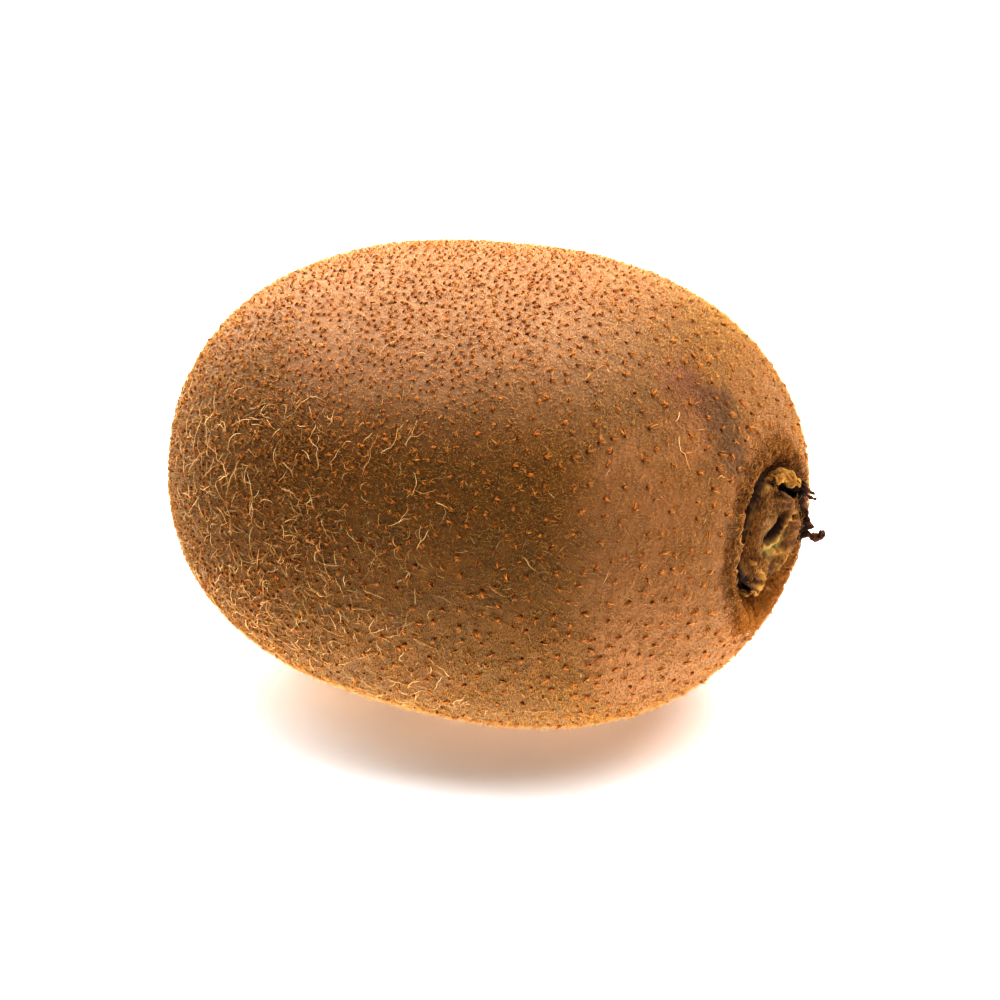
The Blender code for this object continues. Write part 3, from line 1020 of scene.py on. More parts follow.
def grow_felt():
    """Grows both layers of the felt, and the longer hairs in it."""
    felt = bpy.context.scene.kiwi_felt
    form = fruit_form()
    finish = strand_material(
        "felt_gold", felt.root, felt.tip, felt.rusty, odd_share=0.16, contrast=0.30,
        roughness=0.5, sheen=0.30, stains=FELT_STAINS, specular=0.45,
    )
    for layer in FELT_LAYERS:
        grow_felt_layer(layer, finish)
    spot = scattered(felt.long_hairs, felt_density(form, 1.0) * long_density(form), 61)
    draw, total = spot["draw"], felt.long_hairs
    heading = draw.uniform(0.0, TURN, total)
    sizes = felt.long_length * draw.uniform(0.6, 1.5, total)
    lift = np.abs(draw.normal(0.45, 0.25, total))
    taper = (1.0, 0.9, 0.75, 0.5, 0.0)
    paths = lying_paths(spot, heading, sizes, lift, len(taper), bend=0.5)
    widths = girths(draw, total, 0.029 * MM, (0.8, 1.2), taper)
    mesh = strand_mesh("long_hairs", paths, widths, draw.random(total))
    finish = strand_material(
        "long_hair", felt.root, felt.stray_tip, felt.rusty, odd_share=0.2, contrast=0.3,
        roughness=0.5, sheen=0.2,
    )
    piece("long_hairs", mesh, finish, "skin")


def long_density(form):
    """Longer hairs stay on the blossom half and low on the sides."""
    own = form["own"] / MM
    return 0.12 + smoothstep(12.0, -6.0, own[..., 0]) * smoothstep(18.0, 4.0, own[..., 2])


ALONG_RADIUS, ACROSS_RADIUS = 34.0 * MM, 24.0 * MM  # how round the skin is in the two directions


def kinked_paths(spot, sizes, stops, curl, kink, lift):
    """Loose hairs that lie on the round skin and change direction as they go."""
    draw = spot["draw"]
    total = len(sizes)
    heading = draw.uniform(0.0, TURN, total)[:, None]
    turns = draw.normal(0.0, curl, (total, 1)) + draw.normal(0.0, kink, (total, stops - 1))
    heading = heading + np.cumsum(turns, axis=1)
    step = (sizes / (stops - 1))[:, None]
    start = np.zeros((total, 1))
    forward = np.concatenate([start, np.cumsum(step * np.cos(heading), axis=1)], axis=1)
    sideways = np.concatenate([start, np.cumsum(step * np.sin(heading), axis=1)], axis=1)
    share = np.linspace(0.0, 1.0, stops)
    arch = np.sin(math.pi * share) * draw.uniform(0.3, 1.0, (total, 1))
    tip_up = share**2 * draw.uniform(-0.2, 1.0, (total, 1))
    over = lift * (0.6 * arch + 0.5 * tip_up) + 0.06 * MM
    sag = sideways**2 / (2.0 * ACROSS_RADIUS) + forward**2 / (2.0 * ALONG_RADIUS)
    path = (
        spot["point"][:, None] + forward[..., None] * spot["stemward"][:, None]
        + sideways[..., None] * spot["across"][:, None]
        + (over - sag)[..., None] * spot["normal"][:, None]
    )
    path[..., 2] = np.maximum(path[..., 2], 0.04 * MM)
    return path


def lay_stray_hairs():
    """Lays loose pale hairs on the blossom half, low on the sides."""
    felt = bpy.context.scene.kiwi_felt
    form = fruit_form()
    own = form["own"] / MM
    half = smoothstep(9.0, -6.0, own[..., 0]) * smoothstep(-36.0, -26.0, own[..., 0])
    low = smoothstep(17.0, 6.0, own[..., 2])
    tufts = np.clip(0.55 + 0.75 * rough_noise(form["own"], 4.0 * MM, 71), 0.0, None)
    spot = scattered(felt.stray_hairs, 0.004 + half * low * tufts, 72)
    draw, total = spot["draw"], felt.stray_hairs
    sizes = felt.stray_length * np.clip(draw.lognormal(-0.1, 0.45, total), 0.3, 2.2)
    taper = (*np.linspace(1.0, 0.75, 7), 0.0)
    paths = kinked_paths(spot, sizes, len(taper), curl=0.06, kink=0.34, lift=0.5 * MM)
    widths = girths(draw, total, felt.stray_radius, (0.7, 1.2), taper)
    mesh = strand_mesh("stray_hairs", paths, widths, draw.random(total), sides=4)
    finish = strand_material(
        "stray_gold", felt.stray_root, felt.stray_tip, felt.rusty, odd_share=0.12, contrast=0.22,
        roughness=0.45, sheen=0.2,
    )
    return piece("stray_hairs", mesh, finish, "skin")


# The stem end. Its shapes are drawn in millimetres in its own axes: X up, Y front, Z outwards.


def to_row(local, end):
    """Places in millimetres in one end's axes, as places in the row's frame."""
    return moved(local * MM, row_placing() @ end)


# The button's outline: its plain radius, and its lobes as (bearing, width, height).
BUTTON_RADIUS = 4.75
BUTTON_LOBES = (
    (0.25, 0.45, 1.35), (0.80, 0.30, 0.45), (3.14, 0.42, 1.50), (-1.30, 0.50, 0.55),
    (1.75, 0.40, 0.35), (2.45, 0.30, 0.30), (-0.50, 0.25, -0.20),
)
# Its face: spots as (up, front, radius, height or depth), and lines by (up, front) of their ends.
PORE = (0.98, -3.67, 0.25, 0.55)
BUTTON_HOLES = (
    (-5.15, -0.45, 0.70, 1.30), (-3.60, 0.00, 0.60, 0.55), (-4.30, 3.00, 0.90, 0.75),
    (4.55, -1.75, 0.70, 1.00), (4.40, 0.00, 0.62, 0.65), (5.00, 3.20, 0.70, 0.80), PORE,
)
BUTTON_BUMPS = ((3.8, 2.2, 1.5, 1.0), (6.0, 1.0, 1.0, 0.8), (0.3, 3.3, 1.2, 0.5))
SLIT_ENDS = ((1.50, -2.60), (-0.25, 0.45))
GREEN_ENDS = ((-1.35, 0.60), (-1.15, -1.90))
CREST_BENDS = (
    (-1.6, 3.5), (-3.85, 1.3), (-5.9, 1.1), (-6.2, -1.1), (-4.8, -1.9), (-2.9, -2.4), (-1.9, -0.6),
)
CREST_SPUR = ((-3.85, 1.3), (-2.7, 0.3))


def button_outline(bearing):
    """Radius of the button in each direction, 0 being up and a quarter turn the front."""
    radius = np.full_like(bearing, BUTTON_RADIUS)
    for middle, width, height in BUTTON_LOBES:
        off = np.angle(np.exp(1j * (bearing - middle)))
        radius += height * np.exp(-((off / width) ** 2))
    ring = np.stack([np.cos(bearing), np.sin(bearing)], axis=-1)
    return radius + 0.16 * lattice_noise(ring, 0.35, 81) + 0.08 * lattice_noise(ring, 0.12, 82)


def segment_distance(x, y, start, end):
    """Distance to a stretch of line, and the share of its length beside each place."""
    way = np.subtract(end, start)
    share = np.clip(((x - start[0]) * way[0] + (y - start[1]) * way[1]) / (way @ way), 0.0, 1.0)
    off_x, off_y = x - start[0] - share * way[0], y - start[1] - share * way[1]
    side = np.sign(off_x * way[1] - off_y * way[0])
    return np.hypot(off_x, off_y), share, side


def band(value, middle, wide, power=2):
    """1 where the value is near the middle, fading over the width; flatter with a higher power."""
    return np.exp(-(((value - middle) / wide) ** power))


def streak(x, y, start, end, wide):
    """1 along a stretch of line, fading over its width."""
    off, _, _ = segment_distance(x, y, start, end)
    return band(off, 0.0, wide)


def blobs(x, y, spots):
    """Sum of round bumps, each (up, front, radius, height)."""
    return sum(high * blob(x, y, (up, front), wide) for up, front, wide, high in spots)


def button_slit(x, y):
    """The slit's groove, the raised lip on its far side and the wider gap, which painted shade
    darkens.
    """
    off, share, side = segment_distance(x, y, *SLIT_ENDS)
    off = off * side + 0.25 * np.sin(math.pi * share)
    ends = np.sin(math.pi * np.clip(share, 0.05, 0.95)) ** 0.5
    groove, lip, gap = band(off, 0.05, 0.50, 4), band(off, -0.85, 0.27), band(off, -0.10, 0.56, 4)
    return groove * ends, lip * ends, gap * ends


def button_crests(x, y, spread):
    """Broken crests on the lower part of the face, 1 on their tops."""
    wander = 0.28 * rough_noise(spread, 1.1, 87, 2)
    x, y = x + wander, y - wander
    crests = 0.8 * streak(x, y, *CREST_SPUR, 0.35)
    for first, last in zip(CREST_BENDS[:-1], CREST_BENDS[1:]):
        crests = np.maximum(crests, streak(x, y, first, last, 0.40))
    return crests * (0.75 + 0.35 * lattice_noise(spread, 0.8, 88))


def button_relief(x, y):
    """Height of the button's face, lower at the front, and the masks of its colours."""
    spread = np.stack([x, y], axis=-1)
    bearing, away = np.arctan2(y, x), np.hypot(x, y)
    slit, slit_lip, gap = button_slit(x, y)
    far_side = smoothstep(-0.35, -0.75, bearing) * smoothstep(-2.65, -2.2, bearing)
    far_lip = band(away, 4.25, 0.80) * far_side
    pits = blobs(x, y, BUTTON_HOLES)
    pore_ring = band(np.hypot(x - PORE[0], y - PORE[1]), 0.42, 0.14)
    bumps = blobs(x, y, BUTTON_BUMPS)
    crests = button_crests(x, y, spread)
    low_part = smoothstep(0.2, -2.2, x + 0.35 * y)
    rough = rough_noise(spread, 0.9, 84, 4)
    fibres = lattice_noise(np.stack([x * 0.35 + y * 0.2, y * 1.6 - x * 0.5], axis=-1), 0.42, 86)
    height = (
        2.05 - 0.13 * y + 0.85 * far_lip + 0.45 * bumps + 0.85 * crests + 0.50 * slit_lip
        + 0.14 * pore_ring - 1.30 * slit - 1.00 * pits + 0.25 * low_part + 0.18 * rough
        + 0.05 * fibres
    )
    top_stain = 0.5 * blob(x, y, (6.3, 0.9), 0.8)
    ochre = np.clip(1.1 * slit_lip + 0.8 * pore_ring + crests + top_stain, 0.0, 1.0)
    green = streak(x, y, *GREEN_ENDS, 0.55) * (0.8 + 0.3 * lattice_noise(spread, 0.7, 89))
    # Painted shade: dark in and round the pits, in the slit's gap and in the low dips of the rough
    # face.
    painted_shade = blobs(x, y, [
        (up, front, 1.25 * wide, min(1.0, 1.3 * deep)) for up, front, wide, deep in BUTTON_HOLES
    ])
    painted_shade = painted_shade * (1.0 - 0.85 * np.clip(crests, 0.0, 1.0))
    cracks = 0.45 * smoothstep(0.1, 0.5, -rough)
    return height, {
        "ochre": ochre * (1.0 - gap), "green": np.clip(green, 0.0, 1.0),
        "dark": np.clip(np.maximum(1.5 * gap, 1.3 * painted_shade) + cracks, 0.0, 1.0),
        "salmon": np.clip(far_lip, 0.0, 1.0),
    }


def wood_material(name, base, dry_edge):
    """Dry fibrous wood with the masks of its stains and of its painted shade."""
    look = bpy.context.scene.kiwi_stem
    made, nodes, shader = new_material(
        name, 0.75, sheen=0.05, tint=(1.0, 0.82, 0.6), specular=0.25
    )
    place = nodes.place()
    mottle = use_effect(nodes, dry_mottle(), Place=place, Scale=900.0, Contrast=0.5)
    fibre = use_effect(nodes, fibre_grain(), Place=place, Scale=3800.0, Stretch=(1.0, 0.5, 0.4))
    tint = nodes.mix(mottle["Mask"], opaque(base), opaque([0.45 * part for part in base]))
    tint = nodes.mix(nodes.math("MULTIPLY", fibre["Mask"], 0.35), tint, opaque(dry_edge))
    tint = nodes.mix(nodes.math("MULTIPLY", nodes.mask("salmon"), 0.75), tint, opaque(look.salmon))
    tint = nodes.mix(nodes.math("MULTIPLY", nodes.mask("green"), 0.8), tint, opaque(look.lichen))
    tint = nodes.mix(nodes.math("MULTIPLY", nodes.mask("ochre"), 0.95), tint, opaque(look.honey))
    # Painted shade: the dark mask darkens the wood in pits, gaps and dips, at the button's rim and
    # in the tuft's dents.
    painted_shade = nodes.mix(1.0, tint, (0.13, 0.075, 0.05, 1.0), "MULTIPLY")
    tint = nodes.mix(nodes.mask("dark"), tint, painted_shade)
    nodes.tree.links.new(tint, shader.inputs["Base Color"])
    relief = nodes.math("ADD", mottle["Height"], fibre["Height"])
    bump(nodes, shader, relief, 0.16 * MM, 0.8)
    return made


BUTTON_RIM = ((1.00, 0.62), (0.97, 0.40), (0.93, 0.18), (0.90, 0.04))  # outward, level
# RIM_SHADE is the painted shade on the rim and the underside, where the button sits in the hollow.
RIM_FOOT, RIM_SHADE = 0.3, 0.85


def build_button():
    """The dry button: its face, its rounded rim and its flat underside, the rim and the underside
    darkened with painted shade.
    """
    look = bpy.context.scene.kiwi_stem
    columns, face_rows = 216, 74
    bearing = np.linspace(-math.pi, math.pi, columns + 1)
    outline = button_outline(bearing)
    outline[-1] = outline[0]
    share = np.linspace(0.0, 1.0, face_rows) ** 0.85
    away = np.outer(share, outline)
    x, y = away * np.cos(bearing), away * np.sin(bearing)
    height, masks = button_relief(x, y)
    # Painted shade darkens the face's outer edge, where it meets the hollow.
    masks["dark"] = np.maximum(masks["dark"], RIM_SHADE * smoothstep(0.93, 1.0, share)[:, None])
    rounding = 1.0 - smoothstep(0.86, 1.0, share) * 0.42
    height = 0.4 + (height - 0.4) * rounding[:, None]
    rows = [np.stack([x, y, height], axis=-1)]
    for outward, level in BUTTON_RIM:
        rim_height = RIM_FOOT + (height[-1] - RIM_FOOT) * level
        rows.append(np.stack([outward * x[-1], outward * y[-1], rim_height], axis=-1)[None])
    rows.append(np.broadcast_to([0.0, 0.0, RIM_FOOT], (1, columns + 1, 3)))
    points = np.concatenate(rows)
    extra = len(points) - face_rows
    for label, grid in masks.items():
        grid = np.concatenate([grid, np.repeat(grid[-1:], extra, axis=0)])
        # The rim and the underside take the painted shade in full.
        if label == "dark":
            grid[face_rows:] = RIM_SHADE
        masks[label] = grid
    points = points[:, ::-1].copy()
    masks = {label: grid[:, ::-1] for label, grid in masks.items()}
    points = to_row(points, stem_frame())
    mesh = grid_mesh("button", points, masks)
    finish = wood_material("button_wood", look.wood, look.ochre)
    return piece("button", mesh, finish, "stem_wood", "stem_button")


def torn_leaf(spec):
    """One dry sepal as a closed ragged plate, in the stem end's axes, with its masks.

    middle and width are angles in radians round the button. foot, knee and tip are
    (radius, height); slope raises the top edge from one side to the other.
    """
    columns, rows = 72, 30
    seed = spec["seed"]
    across = np.linspace(-1.0, 1.0, columns + 1)
    up = np.linspace(0.0, 1.0, rows + 1)
    line = across[:, None] * 3.0
    teeth = 0.45 * lattice_noise(line, 0.9, seed) + 0.35 * lattice_noise(line, 0.28, seed + 1)
    torn = 1.0 - spec["torn"] * (0.55 + teeth)
    torn *= 1.0 - 0.45 * np.abs(across) ** 5
    share = up[:, None] * torn[None]
    spread = 0.5 * spec["width"] * (1.0 - spec["narrowing"] * up[:, None])
    bearing = spec["middle"] + across[None] * spread
    foot, knee, tip = (np.array(spec[key], dtype=float) for key in ("foot", "knee", "tip"))
    share = share[..., None]
    curve = (1 - share) ** 2 * foot + 2 * share * (1 - share) * knee + share**2 * tip
    radius, height = curve[..., 0], curve[..., 1] + spec["slope"] * across * up[:, None]
    flat = np.stack([bearing * 6.0, height], axis=-1)
    crumple = 0.30 * rough_noise(flat, 1.3, seed + 2, 3) * (0.3 + up[:, None])
    radius = radius + spec["crumple"] * crumple
    middle = np.stack([radius * np.cos(bearing), radius * np.sin(bearing), height], axis=-1)
    normals = unit(np.cross(np.gradient(middle, axis=1), np.gradient(middle, axis=0)))
    edge = np.minimum(1.0 - np.abs(across)[None], 1.0 - up[:, None] * 0.999)
    thick = spec["thickness"] * (0.35 + 0.65 * smoothstep(0.0, 0.16, edge))
    thick = thick * (1.0 + 0.35 * rough_noise(flat, 0.5, seed + 5, 2))
    outer = middle + 0.5 * thick[..., None] * normals
    inner = middle - 0.5 * thick[..., None] * normals
    ring = np.concatenate([outer, inner[:, ::-1]], axis=1)
    ring = np.concatenate([ring, ring[:, :1]], axis=1)
    return ring, edge, up


def leaf_mesh(name, spec):
    """The closed plate as a mesh: two faces and the narrow edge all round."""
    ring, edge, up = torn_leaf(spec)
    rows, columns = ring.shape[0], ring.shape[1] - 1
    flat = to_row(ring[:, :-1].reshape(-1, 3), stem_frame())
    row, column = np.meshgrid(np.arange(rows - 1), np.arange(columns), indexing="ij")
    row, column = row.ravel(), column.ravel()
    beside = (column + 1) % columns
    quads = np.stack([
        row * columns + column, row * columns + beside,
        (row + 1) * columns + beside, (row + 1) * columns + column,
    ], axis=1)
    u, v, du, dv = column / columns, row / (rows - 1), 1 / columns, 1 / (rows - 1)
    low_v, high_v = 0.92 * v, 0.92 * (v + dv)
    quad_uv = np.stack([u, low_v, u + du, low_v, u + du, high_v, u, high_v], axis=1)
    half = columns // 2
    caps, cap_uv = [], []
    for base, turned in ((0, True), ((rows - 1) * columns, False)):
        for place in range(half - 1):
            mate = columns - 1 - place
            quad = (base + place, base + place + 1, base + mate - 1, base + mate)
            caps.append(quad if not turned else quad[::-1])
            low_v, high_v = (0.93, 0.96) if turned else (0.97, 1.0)
            left, right = place / half, (place + 1) / half
            cap_uv.append((left, low_v, right, low_v, right, high_v, left, high_v))
    quads = np.concatenate([quads, np.array(caps)])
    quad_uv = np.concatenate([quad_uv, np.array(cap_uv)])
    mesh = mesh_from(name, flat, quads, np.zeros((0, 3), int), quad_uv, np.zeros((0, 6)))
    both = np.concatenate([edge, edge[:, ::-1]], axis=1)
    torn_edge = smoothstep(0.14, 0.0, both) * (up[:, None] > 0.15)
    noise = rough_noise(ring[:, :-1], 0.8, spec["seed"] + 9)
    inward = np.concatenate([np.zeros_like(edge), np.ones_like(edge)], axis=1)
    write_mask(mesh, "edge", np.clip(torn_edge + 0.25 * noise, 0.0, 1.0).ravel())
    # Painted shade: darker towards the foot, down in the hollow, and on the inner face towards the
    # button; the noise adds random darker patches.
    low_part = smoothstep(0.45, 0.0, up)[:, None] * np.ones_like(both)
    dark = np.clip(0.75 * low_part + 0.35 * noise + 0.25 * inward, 0.0, 1.0)
    write_mask(mesh, "dark", dark.ravel())
    return mesh


def sepal_material(name, base, edge_colour):
    """Papery dry leaf: mottled, fibrous, with broken edges of another colour, and painted shade
    where the dark mask says.
    """
    made, nodes, shader = new_material(
        name, 0.7, sheen=0.04, tint=(1.0, 0.85, 0.6), specular=0.25
    )
    place = nodes.place()
    mottle = use_effect(nodes, dry_mottle(), Place=place, Scale=1100.0, Contrast=0.4)
    fibre = use_effect(nodes, fibre_grain(), Place=place, Scale=4200.0, Stretch=(0.35, 1.0, 0.8))
    tint = nodes.mix(mottle["Mask"], opaque(base), opaque([0.5 * part for part in base]))
    tint = nodes.mix(nodes.math("MULTIPLY", fibre["Mask"], 0.3), tint, opaque(edge_colour))
    tint = nodes.mix(nodes.math("MULTIPLY", nodes.mask("edge"), 0.85), tint, opaque(edge_colour))
    # Painted shade from the dark mask.
    painted_shade = nodes.mix(1.0, tint, (0.22, 0.13, 0.09, 1.0), "MULTIPLY")
    tint = nodes.mix(nodes.mask("dark"), tint, painted_shade)
    nodes.tree.links.new(tint, shader.inputs["Base Color"])
    relief = nodes.math("ADD", mottle["Height"], fibre["Height"])
    bump(nodes, shader, relief, 0.14 * MM, 0.8)
    return made


def leaf_spec(middle, width, foot, knee, tip, **others):
    """The measures of one sepal. middle and width are given in degrees."""
    spec = {
        "middle": math.radians(middle), "width": math.radians(width), "foot": foot,
        "knee": knee, "tip": tip, "slope": 0.0, "narrowing": 0.3,
    }
    spec.update(others)
    return spec


def build_sepals():
    """The four torn sepals round the button."""
    look = bpy.context.scene.kiwi_stem
    pale = [min(1.0, 1.25 * part) for part in look.ochre]
    ochre = sepal_material("sepal_ochre", look.ochre, pale)
    brown = sepal_material("sepal_brown", look.wood, look.fuzz_tip)
    bark = sepal_material("sepal_bark", look.bark, look.bark_edge)
    leaves = (
        ("top", ochre, "sepal_ochre", leaf_spec(
            -12.0, 35.0, (5.8, 1.0), (6.9, 2.7), (5.2, 3.7), slope=-0.80, torn=0.34,
            thickness=0.70, crumple=2.3, narrowing=0.20, seed=91)),
        # The dark sepal: nearly black, partly as painted shade.
        ("far", bark, "sepal_dark", leaf_spec(
            -78.0, 104.0, (6.0, 0.5), (6.4, 2.6), (6.2, 4.6), slope=-0.25, torn=0.42,
            thickness=0.60, crumple=1.8, narrowing=0.15, seed=92)),
        ("bottom", ochre, "sepal_ochre", leaf_spec(
            180.0, 44.0, (6.4, 0.3), (7.0, 1.4), (6.3, 2.0), torn=0.40, thickness=0.55,
            crumple=1.5, seed=93)),
        ("near", brown, "sepal_brown", leaf_spec(
            84.0, 84.0, (5.9, 0.3), (6.4, 1.1), (5.6, 1.5), torn=0.34, thickness=0.70,
            crumple=1.6, narrowing=0.2, seed=94)),
    )
    for name, finish, slot, spec in leaves:
        piece("leaf_" + name, leaf_mesh("leaf_" + name, spec), finish, slot, "sepal_" + name)
    hook_of_far_sepal(bark)


# The curled strip and the two thin shreds: half width, then the stops of the line.
TORN_STRIPS = (
    (0.36, (
        (-1.6, -6.1, 2.6), (-1.7, -6.3, 3.3), (-1.85, -6.4, 3.8), (-2.0, -6.5, 4.25),
        (-2.05, -6.5, 4.7), (-1.9, -6.5, 5.1), (-1.6, -6.5, 5.3), (-1.35, -6.45, 5.2),
        (-1.3, -6.4, 5.0),
    )),
    (0.15, (
        (3.4, -5.2, 2.8), (3.5, -5.3, 3.3), (3.4, -5.4, 3.7), (3.2, -5.5, 4.0), (3.1, -5.6, 4.3),
    )),
    (0.15, (
        (2.6, -5.6, 3.0), (2.7, -5.7, 3.5), (2.5, -5.8, 3.9), (2.4, -5.9, 4.2), (2.5, -6.0, 4.4),
    )),
)


def hook_of_far_sepal(finish):
    """The torn strip that curls away from the dark sepal, and two thin shreds at its top."""
    draw = np.random.default_rng(95)
    stops = 25
    paths, widths = [], []
    for girth, line in TORN_STRIPS:
        marks = np.linspace(0, len(line) - 1, stops)
        stations = np.arange(len(line))
        path = np.stack([np.interp(marks, stations, part) for part in zip(*line)], axis=1)
        smooth = path.copy()
        smooth[1:-1] = (path[:-2] + path[1:-1] + path[2:]) / 3
        paths.append(smooth + draw.normal(0.0, 0.035, smooth.shape))
        knobs = 1.0 + 0.30 * np.sin(np.linspace(0, 17, stops)) + draw.normal(0.0, 0.12, stops)
        widths.append(girth * knobs * np.linspace(1.15, 0.85, stops))
    paths = to_row(np.array(paths), stem_frame())
    tones = np.array([0.5, 0.3, 0.6])
    mesh = strand_mesh("leaf_far_hook", paths, np.array(widths) * MM, tones, sides=9)
    write_mask(mesh, "edge", np.full(len(mesh.vertices), 0.75))
    write_mask(mesh, "dark", np.zeros(len(mesh.vertices)))
    return piece("leaf_far_hook", mesh, finish, "sepal_dark")


def fuzz_hollow():
    """Dense curly hairs on the hollow's wall and rim."""
    look = bpy.context.scene.kiwi_stem
    form = fruit_form()
    away = flat_of(form["stem"]) / MM
    outside = form["stem"][..., 2] > -6.0 * MM
    patchy = np.clip(1.0 + 0.6 * rough_noise(form["own"], 1.6 * MM, 101), 0.1, None)
    density = smoothstep(5.9, 6.6, away) * smoothstep(10.8, 8.0, away) * outside * patchy
    spot = scattered(look.fuzz_hairs, density + 1e-9, 102)
    draw, total = spot["draw"], look.fuzz_hairs
    sizes = look.fuzz_length * draw.uniform(0.5, 1.4, total)
    taper = (1.0, 0.95, 0.85, 0.75, 0.6, 0.0)
    paths = kinked_paths(spot, sizes, len(taper), curl=0.25, kink=0.4, lift=0.55 * MM)
    widths = girths(draw, total, 0.034 * MM, (0.8, 1.2), taper)
    mesh = strand_mesh("stem_fuzz", paths, widths, draw.random(total), stains=spot["stains"])
    finish = strand_material(
        "fuzz_brown", look.fuzz_root, look.fuzz_tip, look.fuzz_root, odd_share=0.3, contrast=0.4,
        roughness=0.6, stains={"ochre": 0.8},
    )
    return piece("stem_fuzz", mesh, finish, "skin")


def fuzz_button():
    """Short hairs on the button's face, half of them towards the front."""
    look = bpy.context.scene.kiwi_stem
    draw = np.random.default_rng(103)
    total, half = look.button_hairs, look.button_hairs // 2
    bearing = np.concatenate([
        draw.normal(1.25, 0.65, half), draw.uniform(-math.pi, math.pi, total - half),
    ])
    away = np.sqrt(draw.uniform(0.25, 1.0, total)) * button_outline(bearing) * 0.97
    x, y = away * np.cos(bearing), away * np.sin(bearing)
    height, _ = button_relief(x, y)
    local = np.stack([x, y, height], axis=-1)
    end = row_placing() @ stem_frame()
    axes = np.array(end)[:3, :3]
    spot = {
        "point": moved(local * MM, end), "normal": np.tile(axes[:, 2], (total, 1)),
        "stemward": np.tile(axes[:, 0], (total, 1)), "across": np.tile(axes[:, 1], (total, 1)),
        "draw": draw,
    }
    sizes = 0.75 * MM * draw.uniform(0.5, 1.5, total)
    taper = (1.0, 0.9, 0.8, 0.6, 0.0)
    paths = kinked_paths(spot, sizes, len(taper), curl=0.3, kink=0.4, lift=0.35 * MM)
    widths = girths(draw, total, 0.028 * MM, (0.8, 1.2), taper)
    mesh = strand_mesh("button_fuzz", paths, widths, draw.random(total))
    finish = strand_material(
        "fuzz_pale", look.wood, look.fuzz_tip, look.fuzz_root, odd_share=0.3, contrast=0.35,
        roughness=0.6,
    )
    return piece("button_fuzz", mesh, finish, "stem_wood")


def fuzz_stem_end():
    """Both kinds of hairs at the stem end."""
    fuzz_hollow()
    fuzz_button()


# The blossom end


def build_tuft():
    """The hard crust in the dimple, and the dry styles that stand on it."""
    look = bpy.context.scene.kiwi_stem
    columns, rows = 96, 34
    bearing = np.linspace(-math.pi, math.pi, columns + 1)
    share = np.linspace(0.0, 1.0, rows)[:, None]
    rays = 1.0 + 0.13 * np.cos(9.0 * bearing) + 0.05 * np.sin(23.0 * bearing)
    radius = 2.0 * np.sin(math.pi * share) ** 0.75 * rays
    radius[[0, -1]] = 0.0
    height = 0.3 + 0.42 * (1.0 - np.cos(math.pi * share)) + 0.5 * smoothstep(0.7, 1.0, share)
    x, y = radius * np.cos(bearing), radius * np.sin(bearing)
    spread = np.stack([x, y, np.broadcast_to(height, x.shape)], axis=-1)
    crust = 0.14 * rough_noise(spread, 0.6, 111, 3)
    crust[:, -1] = crust[:, 0]
    spread[..., 2] += crust * (share > 0.3)
    points = to_row(spread[::-1, ::-1], blossom_frame())
    masks = {
        "ochre": np.zeros_like(x), "green": np.zeros_like(x), "salmon": np.zeros_like(x),
        # Painted shade: the crust is darkened a little all over and more where it dips.
        "dark": np.clip(0.4 - 2.5 * crust, 0.0, 1.0)[::-1, ::-1],
    }
    mesh = grid_mesh("tuft_nub", points, masks)
    finish = wood_material("tuft_wood", look.tuft, look.wood)
    piece("tuft_nub", mesh, finish, "dry_style", "style_tuft")

    draw = np.random.default_rng(112)
    total, stops = look.tuft_hairs, 8
    bearing = draw.uniform(-math.pi, math.pi, total)
    reach = draw.uniform(1.2, 2.9, total)
    share = np.linspace(0.0, 1.0, stops)
    away = 0.4 + share * reach[:, None]
    climb = 0.9 + np.sin(share * 2.2) * draw.uniform(0.2, 1.1, (total, 1))
    bearing = bearing[:, None] + share * draw.normal(0.0, 0.5, (total, 1))
    bearing = bearing + draw.normal(0.0, 0.06, (total, stops))
    local = np.stack([away * np.cos(bearing), away * np.sin(bearing), climb], axis=-1)
    paths = to_row(local, blossom_frame())
    widths = MM * draw.uniform(0.05, 0.10, total)[:, None] * np.linspace(1.0, 0.45, stops)
    mesh = strand_mesh("tuft_styles", paths, widths, draw.random(total), sides=5)
    finish = strand_material(
        "dry_styles", look.tuft, look.fuzz_tip, look.bark, odd_share=0.3, contrast=0.4,
        roughness=0.7,
    )
    return piece("tuft_styles", mesh, finish, "dry_style")


# The stage


COOL_WHITE = (0.92, 0.96, 1.0)
FLOOR_SHINE = (0.88, 0.95, 1.0)
SOFTBOX_AWAY = 0.8  # metres from the fruit
SOFTBOXES = (  # name, turn and height round the fruit in degrees, width in metres
    ("ceiling_back", -153.5, 70.0, 0.90), ("ceiling_right", 116.0, 60.0, 0.60),
    ("ceiling_left", -64.0, 60.0, 0.60), ("back_left", -109.0, 25.0, 0.60),
    ("front_right", 71.0, 20.0, 0.60),
)


def fruit_middle():
    """Where the fruit's axis crosses its widest section."""
    return row_placing() @ Vector((0.0, 0.0, 0.0))


def facing_out(azimuth, elevation):
    """The direction from the fruit to something at this turn and height round it."""
    level = math.cos(elevation)
    return Vector((
        math.sin(azimuth) * level, -math.cos(azimuth) * level, math.sin(elevation),
    ))


def softbox(name, place, aim, size, watts):
    """A broad cool white light that the camera doesn't see."""
    clear_older(name)
    data = bpy.data.lights.new(name, "AREA")
    data.shape = "RECTANGLE"
    data.size, data.size_y = size
    data.energy = watts
    data.color = COOL_WHITE
    made = bpy.data.objects.new(name, data)
    bpy.context.scene.collection.objects.link(made)
    made.location = place
    made.rotation_euler = (Vector(aim) - Vector(place)).to_track_quat("-Z", "Y").to_euler()
    made.visible_camera = False
    return made


